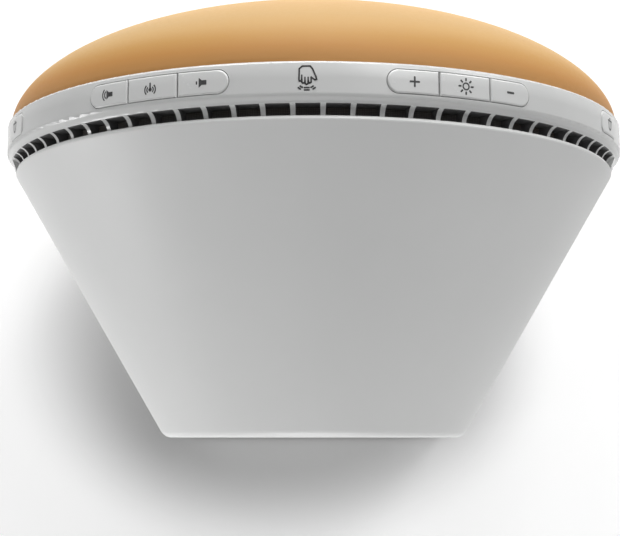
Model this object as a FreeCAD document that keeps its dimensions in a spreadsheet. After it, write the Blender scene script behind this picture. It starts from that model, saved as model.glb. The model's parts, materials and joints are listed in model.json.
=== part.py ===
import FreeCAD, Part

import math
import os
import re

import Sketcher

# A sunrise alarm clock: a glowing dome in a round rim, a cone behind it, keys and vents in the rim.
# Lengths are in millimetres. The clock stands on z = 0 with its front towards -Y and its middle over
# the origin. Each piece is drawn in the clock's own axes and then set in place: x to the right of a
# person facing the clock, y up from the rim's axis, z forward from the flat rear face (its depth).

Vector = FreeCAD.Vector
Rotation = FreeCAD.Rotation
Placement = FreeCAD.Placement

SIZES = {
    # stance
    "bottom_cut": 8.5,
    "foot_height": 1.5,
    "foot_radius": 5.0,
    "front_foot_side": 25.0,
    "rear_foot_depth": 13.0,
    "rear_foot_side": 27.0,
    # rim
    "rim_radius": 95.0,
    "rim_wall": 3.4,
    "rim_gap": 0.15,
    "lip_rise": 4.35,
    "lip_round": 1.4,
    "throat_inset": 1.4,
    "throat_rise": 2.95,
    "throat_round": 2.0,
    "cove_radius": 3.4,
    "cove_inset": 0.8,
    "cove_rise": 2.75,
    "cove_half_angle": 75.6,
    "seam_inset": 0.9,
    "seam_margin": 1.4,
    "front_round": 0.6,
    "rim_floor": 2.2,
    "waist_wall": 7.0,
    "collar_length": 6.2,
    "collar_wall": 1.7,
    "collar_gap": 0.25,
    "collar_half_angle": 118.0,
    # vents
    "vent_pitch": 4.76,
    "vent_count": 31,
    "rib_width": 1.3,
    "vent_reach": 1.15,
    "vent_cover": 0.1,
    # dome
    "dome_rise": 36.0,
    "dome_fullness": 0.534,
    "dome_wall": 3.0,
    "dome_gap": 0.15,
    "dome_side_gap": 0.12,
    "tab_width": 9.0,
    "tab_depth": 4.2,
    "tab_wall": 2.1,
    "tab_gap": 0.25,
    "side_tab_angle": 95.0,
    "low_tab_angle": 130.0,
    # rear housing
    "shell_radius": 46.0,
    "shell_inset": 2.6,
    "shell_flare": 0.2,
    "shell_band": 1.2,
    "shell_depth": 80.4,
    "shell_wall": 2.5,
    "rear_wall": 2.4,
    "rear_round": 1.8,
    "edge_round": 0.8,
    # keys
    "key_rise": 5.15,
    "key_width": 6.5,
    "pill_start": 12.0,
    "pill_first": 20.5,
    "pill_second": 29.5,
    "pill_end": 37.5,
    "alarm_start": 59.6,
    "alarm_end": 68.2,
    "alarm_corner": 2.0,
    "key_gap": 0.16,
    "key_gap_angle": 0.1,
    "key_proud": 0.35,
    "key_round": 0.5,
    "key_travel": 0.5,
    "flange_gap": 0.3,
    "flange_wall": 1.0,
    "flange_lip": 0.75,
    "flange_lip_angle": 0.7,
    "stem_length": 3.55,
    "stem_width": 3.0,
    "stem_angle": 2.0,
    # switches and their board
    "key_board_inset": 0.6,
    "key_board_width": 11.1,
    "key_board_drop": 0.4,
    "board_wall": 1.6,
    "key_board_half_angle": 71.5,
    "switch_width": 6.0,
    "switch_rise": 4.1,
    "switch_length": 3.6,
    "plunger_reach": 2.55,
    "plunger_radius": 0.85,
    "plunger_gap": 0.12,
    "plunger_hidden": 0.7,
    "touch_pad_wall": 0.4,
    "touch_pad_half_angle": 5.0,
    "contact_width": 3.0,
    "contact_wall": 0.3,
    # chassis
    "chassis_sink": 0.4,
    "chassis_wall": 2.4,
    "chassis_inset": 9.8,
    "chassis_rim_wall": 1.6,
    "chassis_rim_drop": 2.0,
    "chassis_floor_gap": 6.0,
    "lug_inset": 4.2,
    "lug_width": 9.0,
    "lug_length": 3.8,
    "lug_upper_angle": 84.0,
    "lug_lower_angle": 140.0,
    "mesh_wall": 0.6,
    "mesh_drop": 1.0,
    "mesh_half_angle": 78.0,
    "post_radius": 4.0,
    "upper_post_x": 33.0,
    "upper_post_y": 22.0,
    "lower_post_x": 37.0,
    "lower_post_rise": 24.5,
    "post_end": 12.0,
    "rear_boss_radius": 4.6,
    # lamp
    "led_board_in": 43.0,
    "led_board_gap": 1.0,
    "led_inner_margin": 7.0,
    "led_outer_margin": 6.5,
    "led_inner_count": 12,
    "led_outer_count": 18,
    "led_width": 3.5,
    "led_rise": 0.9,
    "reflector_lift": 1.1,
    "reflector_rise": 3.8,
    "reflector_wall": 1.2,
    "reflector_gap": 0.55,
    "reflector_knee_step": 1.5,
    "reflector_slope": 5.0,
    "led_window": 3.0,
    "lamp_screw_count": 3,
    # display
    "shroud_width": 76.0,
    "shroud_height": 32.0,
    "shroud_wall": 1.6,
    "shroud_cover": 9.6,
    "ledge_wall": 2.0,
    "display_depth": 8.0,
    "display_recess": 0.6,
    "display_side_gap": 0.2,
    "ribbon_width": 16.0,
    "ribbon_wall": 0.3,
    "ribbon_window_height": 6.0,
    # main board
    "board_lift": 8.1,
    "main_board_width": 56.0,
    "main_board_top": 42.0,
    "main_board_bottom": 58.0,
    "board_screw_inset": 4.0,
    "standoff_radius": 3.0,
    "capacitor_radius": 4.0,
    "capacitor_height": 11.0,
    # speaker
    "speaker_y": -6.0,
    "speaker_radius": 26.0,
    "speaker_flange": 1.2,
    "speaker_ledge": 3.0,
    "gasket_wall": 0.6,
    "basket_depth": 11.0,
    "basket_wall": 1.2,
    "magnet_radius": 16.0,
    "magnet_depth": 9.0,
    "coil_radius": 6.0,
    "speaker_boss_radius": 2.6,
    "speaker_screw_gap": 3.4,
    "grille_hole": 1.2,
    "grille_pitch": 5.2,
    "grille_rings": 4,
    # sockets
    "inlet_x": -22.0,
    "inlet_rise": 20.5,
    "inlet_radius": 4.0,
    "inlet_bore": 2.75,
    "inlet_length": 12.0,
    "inlet_floor": 2.0,
    "inlet_flange": 6.0,
    "pin_radius": 1.0,
    "antenna_x": 22.0,
    "antenna_radius": 2.2,
    "antenna_flange": 3.8,
    "antenna_bore": 0.7,
    "flange_depth": 1.3,
    "socket_gap": 0.1,
    # base
    "base_wall": 2.2,
    "base_gap": 0.3,
    "base_screw_rear": 14.0,
    "base_screw_front": 50.0,
    "base_screw_inset": 4.3,
    "web_width": 2.0,
    "base_boss_radius": 3.6,
    "base_boss_height": 8.0,
    "door_width": 30.0,
    "door_middle": 40.0,
    "door_wall": 1.7,
    "door_gap": 0.2,
    "cell_radius": 10.0,
    "cell_height": 3.2,
    "cell_gap": 0.25,
    "cell_round": 0.3,
    "holder_margin": 2.0,
    "holder_height": 6.0,
    "grip_width": 12.0,
    "grip_pitch": 2.0,
    "grip_count": 4,
    "grip_depth": 0.5,
    "door_screw_inset": 3.0,
    # screws
    "screw_radius": 1.5,
    "screw_head": 2.8,
    "screw_head_height": 2.0,
    "small_screw_radius": 1.1,
    "small_screw_head": 2.1,
    "small_screw_head_height": 1.3,
    "housing_screw_length": 18.0,
    "base_screw_length": 6.0,
    "door_screw_length": 4.5,
    "door_screw_head_height": 0.8,
    "board_screw_length": 7.0,
    "lamp_screw_length": 8.5,
    "speaker_screw_length": 2.6,
    "big_recess": 1.0,
    "small_recess": 0.7,
    "door_recess": 0.5,
    "pilot_depth": 12.0,
    "screw_bore_gap": 0.06,
    "screw_hole_gap": 0.3,
    "seat_gap": 0.05,
}

# what follows from the sizes: radii from the rim inwards, depths from the housing forwards
FITTED = {
    "axis_height": "rim_radius - bottom_cut + foot_height",
    "throat_radius": "rim_radius - throat_inset",
    "cove_out": "rim_radius - cove_inset",
    "seam_radius": "rim_radius - seam_inset",
    "shell_edge_radius": "rim_radius - shell_inset",
    "shell_front_radius": "shell_edge_radius - shell_flare",
    "waist_radius": "rim_radius - waist_wall",
    "chassis_radius": "rim_radius - chassis_inset",
    "chassis_bottom": "axis_height - foot_height - chassis_floor_gap",
    "lug_radius": "chassis_radius - lug_inset",
    "key_board_out": "chassis_radius - key_board_inset",
    "key_board_in": "key_board_out - key_board_width",
    "led_board_out": "key_board_in - led_board_gap",
    "led_inner_ring": "led_board_in + led_inner_margin",
    "led_outer_ring": "led_board_out - led_outer_margin",
    "lamp_screw_ring": "(led_board_in + led_board_out) / 2",
    "reflector_radius": "rim_radius - rim_wall - tab_gap - tab_wall - reflector_gap",
    "reflector_knee": "led_board_out + reflector_knee_step",
    "reflector_shoulder": "reflector_knee + reflector_slope",
    "flange_out": "rim_radius - rim_wall - flange_gap",
    "stem_end": "flange_out - flange_wall - stem_length",
    "switch_face": "stem_end - plunger_reach",
    "shell_taper": "shell_depth - shell_band",
    "rim_rear": "shell_depth + rim_gap",
    "throat_depth": "rim_rear + throat_rise",
    "lip_depth": "rim_rear + lip_rise",
    "cove_top": "rim_rear + cove_rise",
    "vent_low": "rim_rear - vent_reach",
    "vent_high": "cove_top - vent_cover",
    "key_low": "rim_rear + key_rise",
    "key_high": "key_low + key_width",
    "seam_depth": "key_high + seam_margin",
    "front_foot_depth": "(rim_rear + seam_depth) / 2",
    "chassis_rear": "shell_depth - chassis_sink",
    "chassis_rim_low": "chassis_rear - chassis_rim_drop",
    "mesh_low": "chassis_rear - mesh_drop",
    "key_board_low": "key_low - key_board_drop",
    "reflector_floor": "key_board_low + board_wall + reflector_lift",
    "reflector_flange": "reflector_floor + reflector_rise",
    "shroud_front": "seam_depth + dome_rise - shroud_cover",
    "main_board_rear": "chassis_rear - board_lift - board_wall",
    "lower_post_y": "axis_height - foot_height - lower_post_rise",
    "inlet_y": "foot_height + inlet_rise - axis_height",
    "speaker_screw_ring": "speaker_radius + speaker_screw_gap",
    "basket_end": "rear_wall + seat_gap + gasket_wall + basket_depth",
    "holder_width": "door_width + 2 * holder_margin",
}

document = FreeCAD.newDocument("sunrise_alarm_clock")
sheet = document.addObject("Spreadsheet::Sheet", "Sizes")
for row, (alias, number) in enumerate(SIZES.items(), 1):
    sheet.set(f"A{row}", alias)
    sheet.set(f"B{row}", str(number))
    sheet.setAlias(f"B{row}", alias)
document.recompute()

pieces = {}


def formula(text):
    """A formula with the sheet's name in front of each size that it uses, and fitted sizes written out."""
    def spelled(word):
        name = word[0]
        if name in FITTED:
            return f"({formula(FITTED[name])})"
        return f"Sizes.{name}" if name in SIZES else name
    return re.sub(r"[a-z_]+", spelled, text)


def worth(text):
    """What a formula comes to."""
    return float(sheet.evalExpression(formula(text)))


def bind(item, name, text):
    item.setExpression(name, formula(text))


def clock_frame():
    """The clock's own axes, seen from the table: depth runs towards the front."""
    depth = worth("seam_depth + dome_rise")
    return Placement(Vector(0, depth / 2, worth("axis_height")), Rotation(Vector(1, 0, 0), 90))


def keep(name, item):
    """Names a finished piece and puts it in the clock."""
    item.Label = name
    item.Placement = clock_frame().multiply(item.Placement)
    pieces[name] = item
    return item


# Sketches and features

def new_body(name):
    return document.addObject("PartDesign::Body", name + "_body")


def new_sketch(body, role, name, lift="0", turn=0.0, middle=("0", "0")):
    """A sketch on a plane of the body: lifted along its normal, moved in it, or turned about the depth axis."""
    plane = next(item for item in body.Origin.OriginFeatures if item.Role == role)
    sketch = body.newObject("Sketcher::SketchObject", name)
    sketch.AttachmentSupport = (plane, [""])
    sketch.MapMode = "FlatFace"
    spin = Rotation(Vector(0, 1, 0), turn)
    sketch.AttachmentOffset = Placement(Vector(worth(middle[0]), worth(middle[1]), worth(lift)), spin)
    bind(sketch, "AttachmentOffset.Base.x", middle[0])
    bind(sketch, "AttachmentOffset.Base.y", middle[1])
    bind(sketch, "AttachmentOffset.Base.z", lift)
    return sketch


def dimension(sketch, kind, places, text):
    """A dimension in the sketch that follows a formula."""
    index = sketch.addConstraint(Sketcher.Constraint(kind, *places, worth(text)))
    bind(sketch, f"Constraints[{index}]", text)


def pin_point(sketch, edge, end, across, up):
    dimension(sketch, "DistanceX", (-1, 1, edge, end), across)
    dimension(sketch, "DistanceY", (-1, 1, edge, end), up)


def draw_outline(sketch, corners):
    """A closed outline of straight edges through corners: two formulas each, and a third for a round corner."""
    spots = [Vector(worth(corner[0]), worth(corner[1]), 0) for corner in corners]
    count = len(spots)
    ends = []
    for here, corner in enumerate(corners):
        radius = worth(corner[2]) if len(corner) == 3 else 0.0
        ends.append(round_corner(spots[here - 1], spots[here], spots[(here + 1) % count], radius))
    lines = []
    for here in range(count):
        edge = Part.LineSegment(ends[here][1], ends[(here + 1) % count][0])
        lines.append(sketch.addGeometry(edge, False))
    for here, corner in enumerate(corners):
        before, after = lines[here - 1], lines[here]
        if len(corner) == 2:
            sketch.addConstraint(Sketcher.Constraint("Coincident", before, 2, after, 1))
            pin_point(sketch, after, 1, corner[0], corner[1])
            continue
        start, end, middle = ends[here]
        arc, forward = arc_between(middle, start, end)
        curve = sketch.addGeometry(arc, False)
        sketch.addConstraint(Sketcher.Constraint("Tangent", before, 2, curve, 1 if forward else 2))
        sketch.addConstraint(Sketcher.Constraint("Tangent", curve, 2 if forward else 1, after, 1))
        dimension(sketch, "Radius", (curve,), corner[2])
        mark = sketch.addGeometry(Part.Point(spots[here]), True)
        sketch.addConstraint(Sketcher.Constraint("PointOnObject", mark, 1, before))
        sketch.addConstraint(Sketcher.Constraint("PointOnObject", mark, 1, after))
        pin_point(sketch, mark, 1, corner[0], corner[1])
    return sketch


def round_corner(before, here, after, radius):
    """Where a corner's rounding starts and ends, and its middle."""
    if radius == 0:
        return here, here, here
    back = (before - here).normalize()
    on = (after - here).normalize()
    half = back.getAngle(on) / 2
    reach = radius / math.tan(half)
    return here + back * reach, here + on * reach, here + (back + on).normalize() * (radius / math.sin(half))


def arc_between(middle, start, end):
    """The short arc from start to end, and whether it runs anticlockwise."""
    first, last = start - middle, end - middle
    forward = first.cross(last).z > 0
    low, high = (first, last) if forward else (last, first)
    start_angle, end_angle = math.atan2(low.y, low.x), math.atan2(high.y, high.x)
    if end_angle < start_angle:
        end_angle += 2 * math.pi
    circle = Part.Circle(middle, Vector(0, 0, 1), first.Length)
    return Part.ArcOfCircle(circle, start_angle, end_angle), forward


def draw_box(sketch, left, right, low, high):
    return draw_outline(sketch, [(left, low), (right, low), (right, high), (left, high)])


def draw_circle(sketch, radius, across="0", up="0"):
    middle = Vector(worth(across), worth(up), 0)
    edge = sketch.addGeometry(Part.Circle(middle, Vector(0, 0, 1), worth(radius)), False)
    pin_point(sketch, edge, 3, across, up)
    dimension(sketch, "Radius", (edge,), radius)
    return sketch


def draw_cut_circle(sketch, radius, low):
    """A circle about the axis whose bottom is cut off straight at the height low."""
    reach = worth(radius)
    start = math.asin(worth(low) / reach)
    arc = Part.ArcOfCircle(Part.Circle(Vector(), Vector(0, 0, 1), reach), start, math.pi - start)
    edge = sketch.addGeometry(arc, False)
    flat = sketch.addGeometry(Part.LineSegment(arc.EndPoint, arc.StartPoint), False)
    sketch.addConstraint(Sketcher.Constraint("Coincident", edge, 2, flat, 1))
    sketch.addConstraint(Sketcher.Constraint("Coincident", flat, 2, edge, 1))
    pin_point(sketch, edge, 3, "0", "0")
    dimension(sketch, "Radius", (edge,), radius)
    dimension(sketch, "DistanceY", (-1, 1, flat, 1), low)
    sketch.addConstraint(Sketcher.Constraint("Horizontal", flat))
    return sketch


def add_turned(body, sketch, name, angle="360", cut=False):
    """A profile of radius and depth turned about the depth axis, all round or evenly each side."""
    turned = body.newObject("PartDesign::Groove" if cut else "PartDesign::Revolution", name)
    turned.Profile = sketch
    turned.ReferenceAxis = (sketch, ["V_Axis"])
    bind(turned, "Angle", angle)
    turned.Midplane = angle != "360"
    return turned


def add_pad(body, sketch, name, length, reverse=False):
    pad = body.newObject("PartDesign::Pad", name)
    pad.Profile = sketch
    bind(pad, "Length", length)
    pad.Reversed = reverse
    return pad


def add_pocket(body, sketch, name, length=None, forward=False):
    """A pocket against the sketch's normal, or along it with forward; right through without a length."""
    pocket = body.newObject("PartDesign::Pocket", name)
    pocket.Profile = sketch
    if length is None:
        pocket.Type = "ThroughAll"
    else:
        bind(pocket, "Length", length)
    pocket.Reversed = forward
    return pocket


def add_round_pattern(body, feature, sketch, name, angle, count, axis="V_Axis"):
    pattern = body.newObject("PartDesign::PolarPattern", name)
    pattern.Originals = [feature]
    pattern.Axis = (sketch, [axis])
    bind(pattern, "Angle", angle)
    bind(pattern, "Occurrences", count)
    body.Tip = pattern
    return pattern


def add_fillet(body, feature, name, radius, chosen):
    """Rounds the edges of a feature that the test picks."""
    document.recompute()
    edges = [f"Edge{index}" for index, edge in enumerate(feature.Shape.Edges, 1) if chosen(edge)]
    fillet = body.newObject("PartDesign::Fillet", name)
    fillet.Base = (feature, edges)
    bind(fillet, "Radius", radius)
    return fillet


def add_section(body, name, lift, radius, side, low):
    """A section of the tapering housing: half a circle above the axis, then sides down to a flat bottom.

    The sides follow the circle where side is None, and otherwise run straight down.
    """
    sketch = new_sketch(body, "XY_Plane", name, lift)
    reach = worth(radius)
    bottom = worth(low)
    circle = Part.Circle(Vector(), Vector(0, 0, 1), reach)
    top = sketch.addGeometry(Part.ArcOfCircle(circle, 0, math.pi), False)
    if side is None:
        drop = math.asin(-bottom / reach)
        left_arc = Part.ArcOfCircle(circle, math.pi, math.pi + drop)
        right_arc = Part.ArcOfCircle(circle, 2 * math.pi - drop, 2 * math.pi)
        left = sketch.addGeometry(left_arc, False)
        base = sketch.addGeometry(Part.LineSegment(left_arc.EndPoint, right_arc.StartPoint), False)
        right = sketch.addGeometry(right_arc, False)
        pin_point(sketch, left, 3, "0", "0")
        pin_point(sketch, right, 3, "0", "0")
    else:
        spots = ((-reach, 0), (-reach, bottom), (reach, bottom), (reach, 0))
        corners = [Vector(across, up, 0) for across, up in spots]
        left = sketch.addGeometry(Part.LineSegment(corners[0], corners[1]), False)
        base = sketch.addGeometry(Part.LineSegment(corners[1], corners[2]), False)
        right = sketch.addGeometry(Part.LineSegment(corners[2], corners[3]), False)
        sketch.addConstraint(Sketcher.Constraint("Vertical", left))
        sketch.addConstraint(Sketcher.Constraint("Vertical", right))
    pin_point(sketch, top, 3, "0", "0")
    dimension(sketch, "Radius", (top,), radius)
    sketch.addConstraint(Sketcher.Constraint("PointOnObject", top, 1, -1))
    sketch.addConstraint(Sketcher.Constraint("PointOnObject", top, 2, -1))
    sketch.addConstraint(Sketcher.Constraint("Coincident", top, 2, left, 1))
    sketch.addConstraint(Sketcher.Constraint("Coincident", left, 2, base, 1))
    sketch.addConstraint(Sketcher.Constraint("Coincident", base, 2, right, 1))
    sketch.addConstraint(Sketcher.Constraint("Coincident", right, 2, top, 1))
    dimension(sketch, "DistanceY", (-1, 1, base, 1), low)
    sketch.addConstraint(Sketcher.Constraint("Horizontal", base))
    return sketch


def add_loft(body, name, sections, cut=False):
    loft = body.newObject("PartDesign::SubtractiveLoft" if cut else "PartDesign::AdditiveLoft", name)
    loft.Profile = sections[0]
    loft.Sections = sections[1:]
    loft.Ruled = True
    return loft


def taper_radius(depth, inset="0"):
    """The cone's radius at a depth, less an inset."""
    slope = "(shell_front_radius - shell_radius) / shell_taper"
    return f"shell_radius + {slope} * ({depth}) - ({inset})"


def side_at(depth, height, inset="0"):
    """Half the housing's width at a depth and a height below the axis, less an inset."""
    near = f"(shell_radius - ({inset}))"
    far = f"sqrt((shell_front_radius - ({inset})) ^ 2 - ({height}) ^ 2)"
    return f"({near} + ({far} - {near}) * ({depth}) / shell_taper)"


BASE = "(axis_height - foot_height)"
FLOOR = "(axis_height - foot_height - base_wall)"
DOOR_SCREW = "door_middle + door_width / 2 - door_screw_inset"


# The dome

def half_profile(radius, rise, start, count=16):
    """Points of the dome's half section, from its top to its edge: fuller than a half ellipse."""
    spots = []
    for step in range(count + 1):
        turn = math.pi / 2 * step / count
        lift = 0.0 if step == count else rise * math.cos(turn) ** (2 * worth("dome_fullness"))
        spots.append(Vector(0, radius * math.sin(turn), start + lift))
    return spots


def dome_solid(radius, rise, start):
    """A filled dome that stands on the plane z = start."""
    spots = half_profile(radius, rise, start)
    curve = Part.BSplineCurve()
    curve.interpolate(spots)
    foot = Vector(0, 0, start)
    rim = Part.LineSegment(spots[-1], foot).toShape()
    axis = Part.LineSegment(foot, spots[0]).toShape()
    face = Part.Face(Part.Wire([curve.toShape(), rim, axis]))
    return face.revolve(Vector(), Vector(0, 0, 1), 360)


def above(level, shape):
    """The part of a shape that lies above a height."""
    reach = 2 * worth("rim_radius")
    block = Part.makeBox(2 * reach, 2 * reach, 2 * reach, Vector(-reach, level, -reach / 2))
    return shape.common(block)


def make_light_dome():
    """The translucent dome, cut flat at the bottom, with snap tabs that reach into the rim."""
    radius = worth("seam_radius - dome_side_gap")
    start = worth("seam_depth + dome_gap")
    rise = worth("dome_rise - dome_gap")
    wall = worth("dome_wall")
    outer = above(-worth(BASE), dome_solid(radius, rise, start))
    inner = above(-worth(BASE) + wall, dome_solid(radius - wall, rise - wall, start))
    shell = outer.cut(inner)
    tab_out = worth("rim_radius - rim_wall - tab_gap")
    tab_in = tab_out - worth("tab_wall")
    tab_low = start - worth("tab_depth")
    tab_high = start + wall / 2
    ring = Part.makeCylinder(tab_out, tab_high - tab_low, Vector(0, 0, tab_low))
    ring = ring.cut(Part.makeCylinder(tab_in, tab_high - tab_low, Vector(0, 0, tab_low)))
    width = worth("tab_width")
    middle = worth("(pill_end + alarm_start) / 2")
    side, low = worth("side_tab_angle"), worth("low_tab_angle")
    for angle in (middle, -middle, side, -side, low, -low):
        block = Part.makeBox(width, tab_out + 1, tab_high - tab_low, Vector(-width / 2, 0, tab_low))
        block.rotate(Vector(), Vector(0, 0, 1), -angle)
        shell = shell.fuse(ring.common(block))
    dome = document.addObject("Part::Feature", "light_dome_shape")
    dome.Shape = shell.removeSplitter()
    keep("light_dome", dome)


# The rim

def radial_edge(edge, low, high):
    """Whether an edge runs along a radius, at the depth low or high."""
    ends = [vertex.Point for vertex in edge.Vertexes]
    if len(ends) != 2 or abs(ends[0].z - ends[1].z) > 0.01:
        return False
    if min(abs(ends[0].z - low), abs(ends[0].z - high)) > 0.01:
        return False
    reaches = [math.hypot(end.x, end.y) for end in ends]
    turns = [math.atan2(end.x, end.y) for end in ends]
    return abs(turns[0] - turns[1]) < 1e-4 and abs(reaches[0] - reaches[1]) > 0.5


def cut_key_opening(body, feature, name, start, end, corner, side):
    """An opening for keys between two angles from the top, with its corners rounded."""
    middle = worth(f"({start} + {end}) / 2") * side
    profile = new_sketch(body, "YZ_Plane", name + "_profile", turn=-middle)
    draw_box(profile, "rim_radius - rim_wall - 2", "rim_radius + 2", "key_low", "key_high")
    opening = add_turned(body, profile, name, f"{end} - {start}", cut=True)
    low, high = worth("key_low"), worth("key_high")
    near, far = worth(start), worth(end)

    def chosen(edge):
        if not radial_edge(edge, low, high):
            return False
        point = edge.Vertexes[0].Point
        angle = math.degrees(math.atan2(point.x, point.y)) * side
        return min(abs(angle - near), abs(angle - far)) < 0.05

    return add_fillet(body, opening, name + "_corners", corner, chosen)


def make_rim_ring():
    """The rim: a band with a cove of vents behind it, a flat floor and lugs that carry the chassis."""
    body = new_body("rim_ring")
    band = new_sketch(body, "YZ_Plane", "band_profile")
    draw_outline(band, [
        ("0", "rim_rear"),
        ("shell_edge_radius + 0.05", "rim_rear"),
        ("throat_radius", "throat_depth", "throat_round"),
        ("rim_radius", "lip_depth", "lip_round"),
        ("rim_radius", "seam_depth", "front_round"),
        ("0", "seam_depth"),
    ])
    add_turned(body, band, "band")

    below = new_sketch(body, "XY_Plane", "flat_bottom", "rim_rear - 1")
    draw_box(below, "-rim_radius", "rim_radius", "-rim_radius - 5", f"-{BASE}")
    add_pocket(body, below, "bottom_cut", forward=True)
    bore = new_sketch(body, "XY_Plane", "bore_outline", "lip_depth")
    draw_cut_circle(bore, "rim_radius - rim_wall", f"-({BASE} - rim_floor)")
    add_pocket(body, bore, "bore", forward=True)
    waist = new_sketch(body, "XY_Plane", "waist_outline", "rim_rear - 1")
    draw_cut_circle(waist, "waist_radius", f"-({BASE} - rim_floor)")
    add_pocket(body, waist, "waist", "lip_depth - rim_rear + 2", forward=True)

    collar = new_sketch(body, "YZ_Plane", "collar_profile")
    top = taper_radius("shell_taper", "shell_wall + collar_gap")
    tail = "(shell_depth - collar_length)"
    low = taper_radius(tail, "shell_wall + collar_gap")
    draw_outline(collar, [
        (top, "rim_rear + 0.5"),
        (top, "shell_taper"),
        (low, tail),
        (f"{low} - collar_wall", tail),
        (f"{top} - collar_wall", "shell_taper"),
        (f"{top} - collar_wall", "rim_rear + 0.5"),
    ])
    add_turned(body, collar, "collar", "2 * collar_half_angle")

    cove = new_sketch(body, "YZ_Plane", "cove_profile")
    add_cove_outline(cove)
    last = add_turned(body, cove, "cove", "2 * cove_half_angle", cut=True)

    full = "(key_high - key_low) / 2 - 0.02"
    for name, side in (("right_pill", 1), ("left_pill", -1)):
        last = cut_key_opening(body, last, name, "pill_start", "pill_end", full, side)
    for name, side in (("right_alarm", 1), ("left_alarm", -1)):
        last = cut_key_opening(body, last, name, "alarm_start", "alarm_end", "alarm_corner", side)

    for name, angle in lug_angles().items():
        lug = new_sketch(body, "XY_Plane", name, "cove_top")
        lug.AttachmentOffset = Placement(Vector(0, 0, worth("cove_top")), Rotation(Vector(0, 0, 1), -angle))
        draw_box(lug, "-lug_width / 2", "lug_width / 2", "lug_radius - 2.6", "waist_radius + 1")
        draw_circle(lug, "small_screw_radius + screw_bore_gap", "0", "lug_radius")
        add_pad(body, lug, name + "_pad", "lug_length")
    turn = worth("vent_pitch * (vent_count - 1) / 2")
    vent = new_sketch(body, "XZ_Plane", "vent_outline", turn=turn)
    half = f"((waist_radius + cove_out) / 2 * vent_pitch * {math.pi / 180} - rib_width) / 2"
    draw_box(vent, f"-({half})", half, "vent_low", "vent_high")
    window = add_pocket(body, vent, "vent")
    row = add_round_pattern(body, window, vent, "vents", "vent_pitch * (vent_count - 1)", "vent_count")
    row.Reversed = True
    keep("rim_ring", body)


def add_cove_outline(sketch):
    """The cove: a quarter round from the lip in and back, and all that lies outside it."""
    radius = worth("cove_radius")
    middle = Vector(worth("cove_out"), worth("cove_top - cove_radius"), 0)
    start = middle + Vector(0, radius, 0)
    end = middle - Vector(radius, 0, 0)
    outside = worth("rim_radius") + 2
    arc = Part.ArcOfCircle(Part.Circle(middle, Vector(0, 0, 1), radius), math.pi / 2, math.pi)
    curve = sketch.addGeometry(arc, False)
    corners = [end, Vector(outside, end.y, 0), Vector(outside, start.y, 0), start]
    lines = [sketch.addGeometry(Part.LineSegment(corners[i], corners[i + 1]), False) for i in range(3)]
    sketch.addConstraint(Sketcher.Constraint("Coincident", curve, 2, lines[0], 1))
    sketch.addConstraint(Sketcher.Constraint("Coincident", lines[0], 2, lines[1], 1))
    sketch.addConstraint(Sketcher.Constraint("Coincident", lines[1], 2, lines[2], 1))
    sketch.addConstraint(Sketcher.Constraint("Coincident", lines[2], 2, curve, 1))
    pin_point(sketch, curve, 3, "cove_out", "cove_top - cove_radius")
    pin_point(sketch, curve, 1, "cove_out", "cove_top")
    dimension(sketch, "DistanceY", (-1, 1, curve, 2), "cove_top - cove_radius")
    pin_point(sketch, lines[1], 1, "rim_radius + 2", "cove_top - cove_radius")
    pin_point(sketch, lines[1], 2, "rim_radius + 2", "cove_top")


def lug_angles():
    """Where the chassis is screwed to the rim, in degrees from the top."""
    upper, lower = worth("lug_upper_angle"), worth("lug_lower_angle")
    return {"lug_a": upper, "lug_b": -upper, "lug_c": lower, "lug_d": -lower}


# The rear housing and its base

def post_places():
    """The four long screws through the rear wall, as formulas across and up."""
    return [
        ("upper_post_x", "upper_post_y"),
        ("-upper_post_x", "upper_post_y"),
        ("lower_post_x", "-lower_post_y"),
        ("-lower_post_x", "-lower_post_y"),
    ]


def speaker_screw_places():
    reach = f"speaker_screw_ring * {math.sqrt(0.5)}"
    signs = ((1, 1), (-1, 1), (-1, -1), (1, -1))
    return [(f"{across} * {reach}", f"speaker_y + {up} * {reach}") for across, up in signs]


def base_screw_places():
    """The screws through the base, as formulas for side and depth, seated beside the housing's side walls."""
    places = []
    for depth in ("base_screw_rear", "base_screw_front"):
        side = f"({side_at(depth, BASE, 'shell_wall')} - base_screw_inset)"
        places += [(side, depth), (f"-{side}", depth)]
    return places


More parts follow.
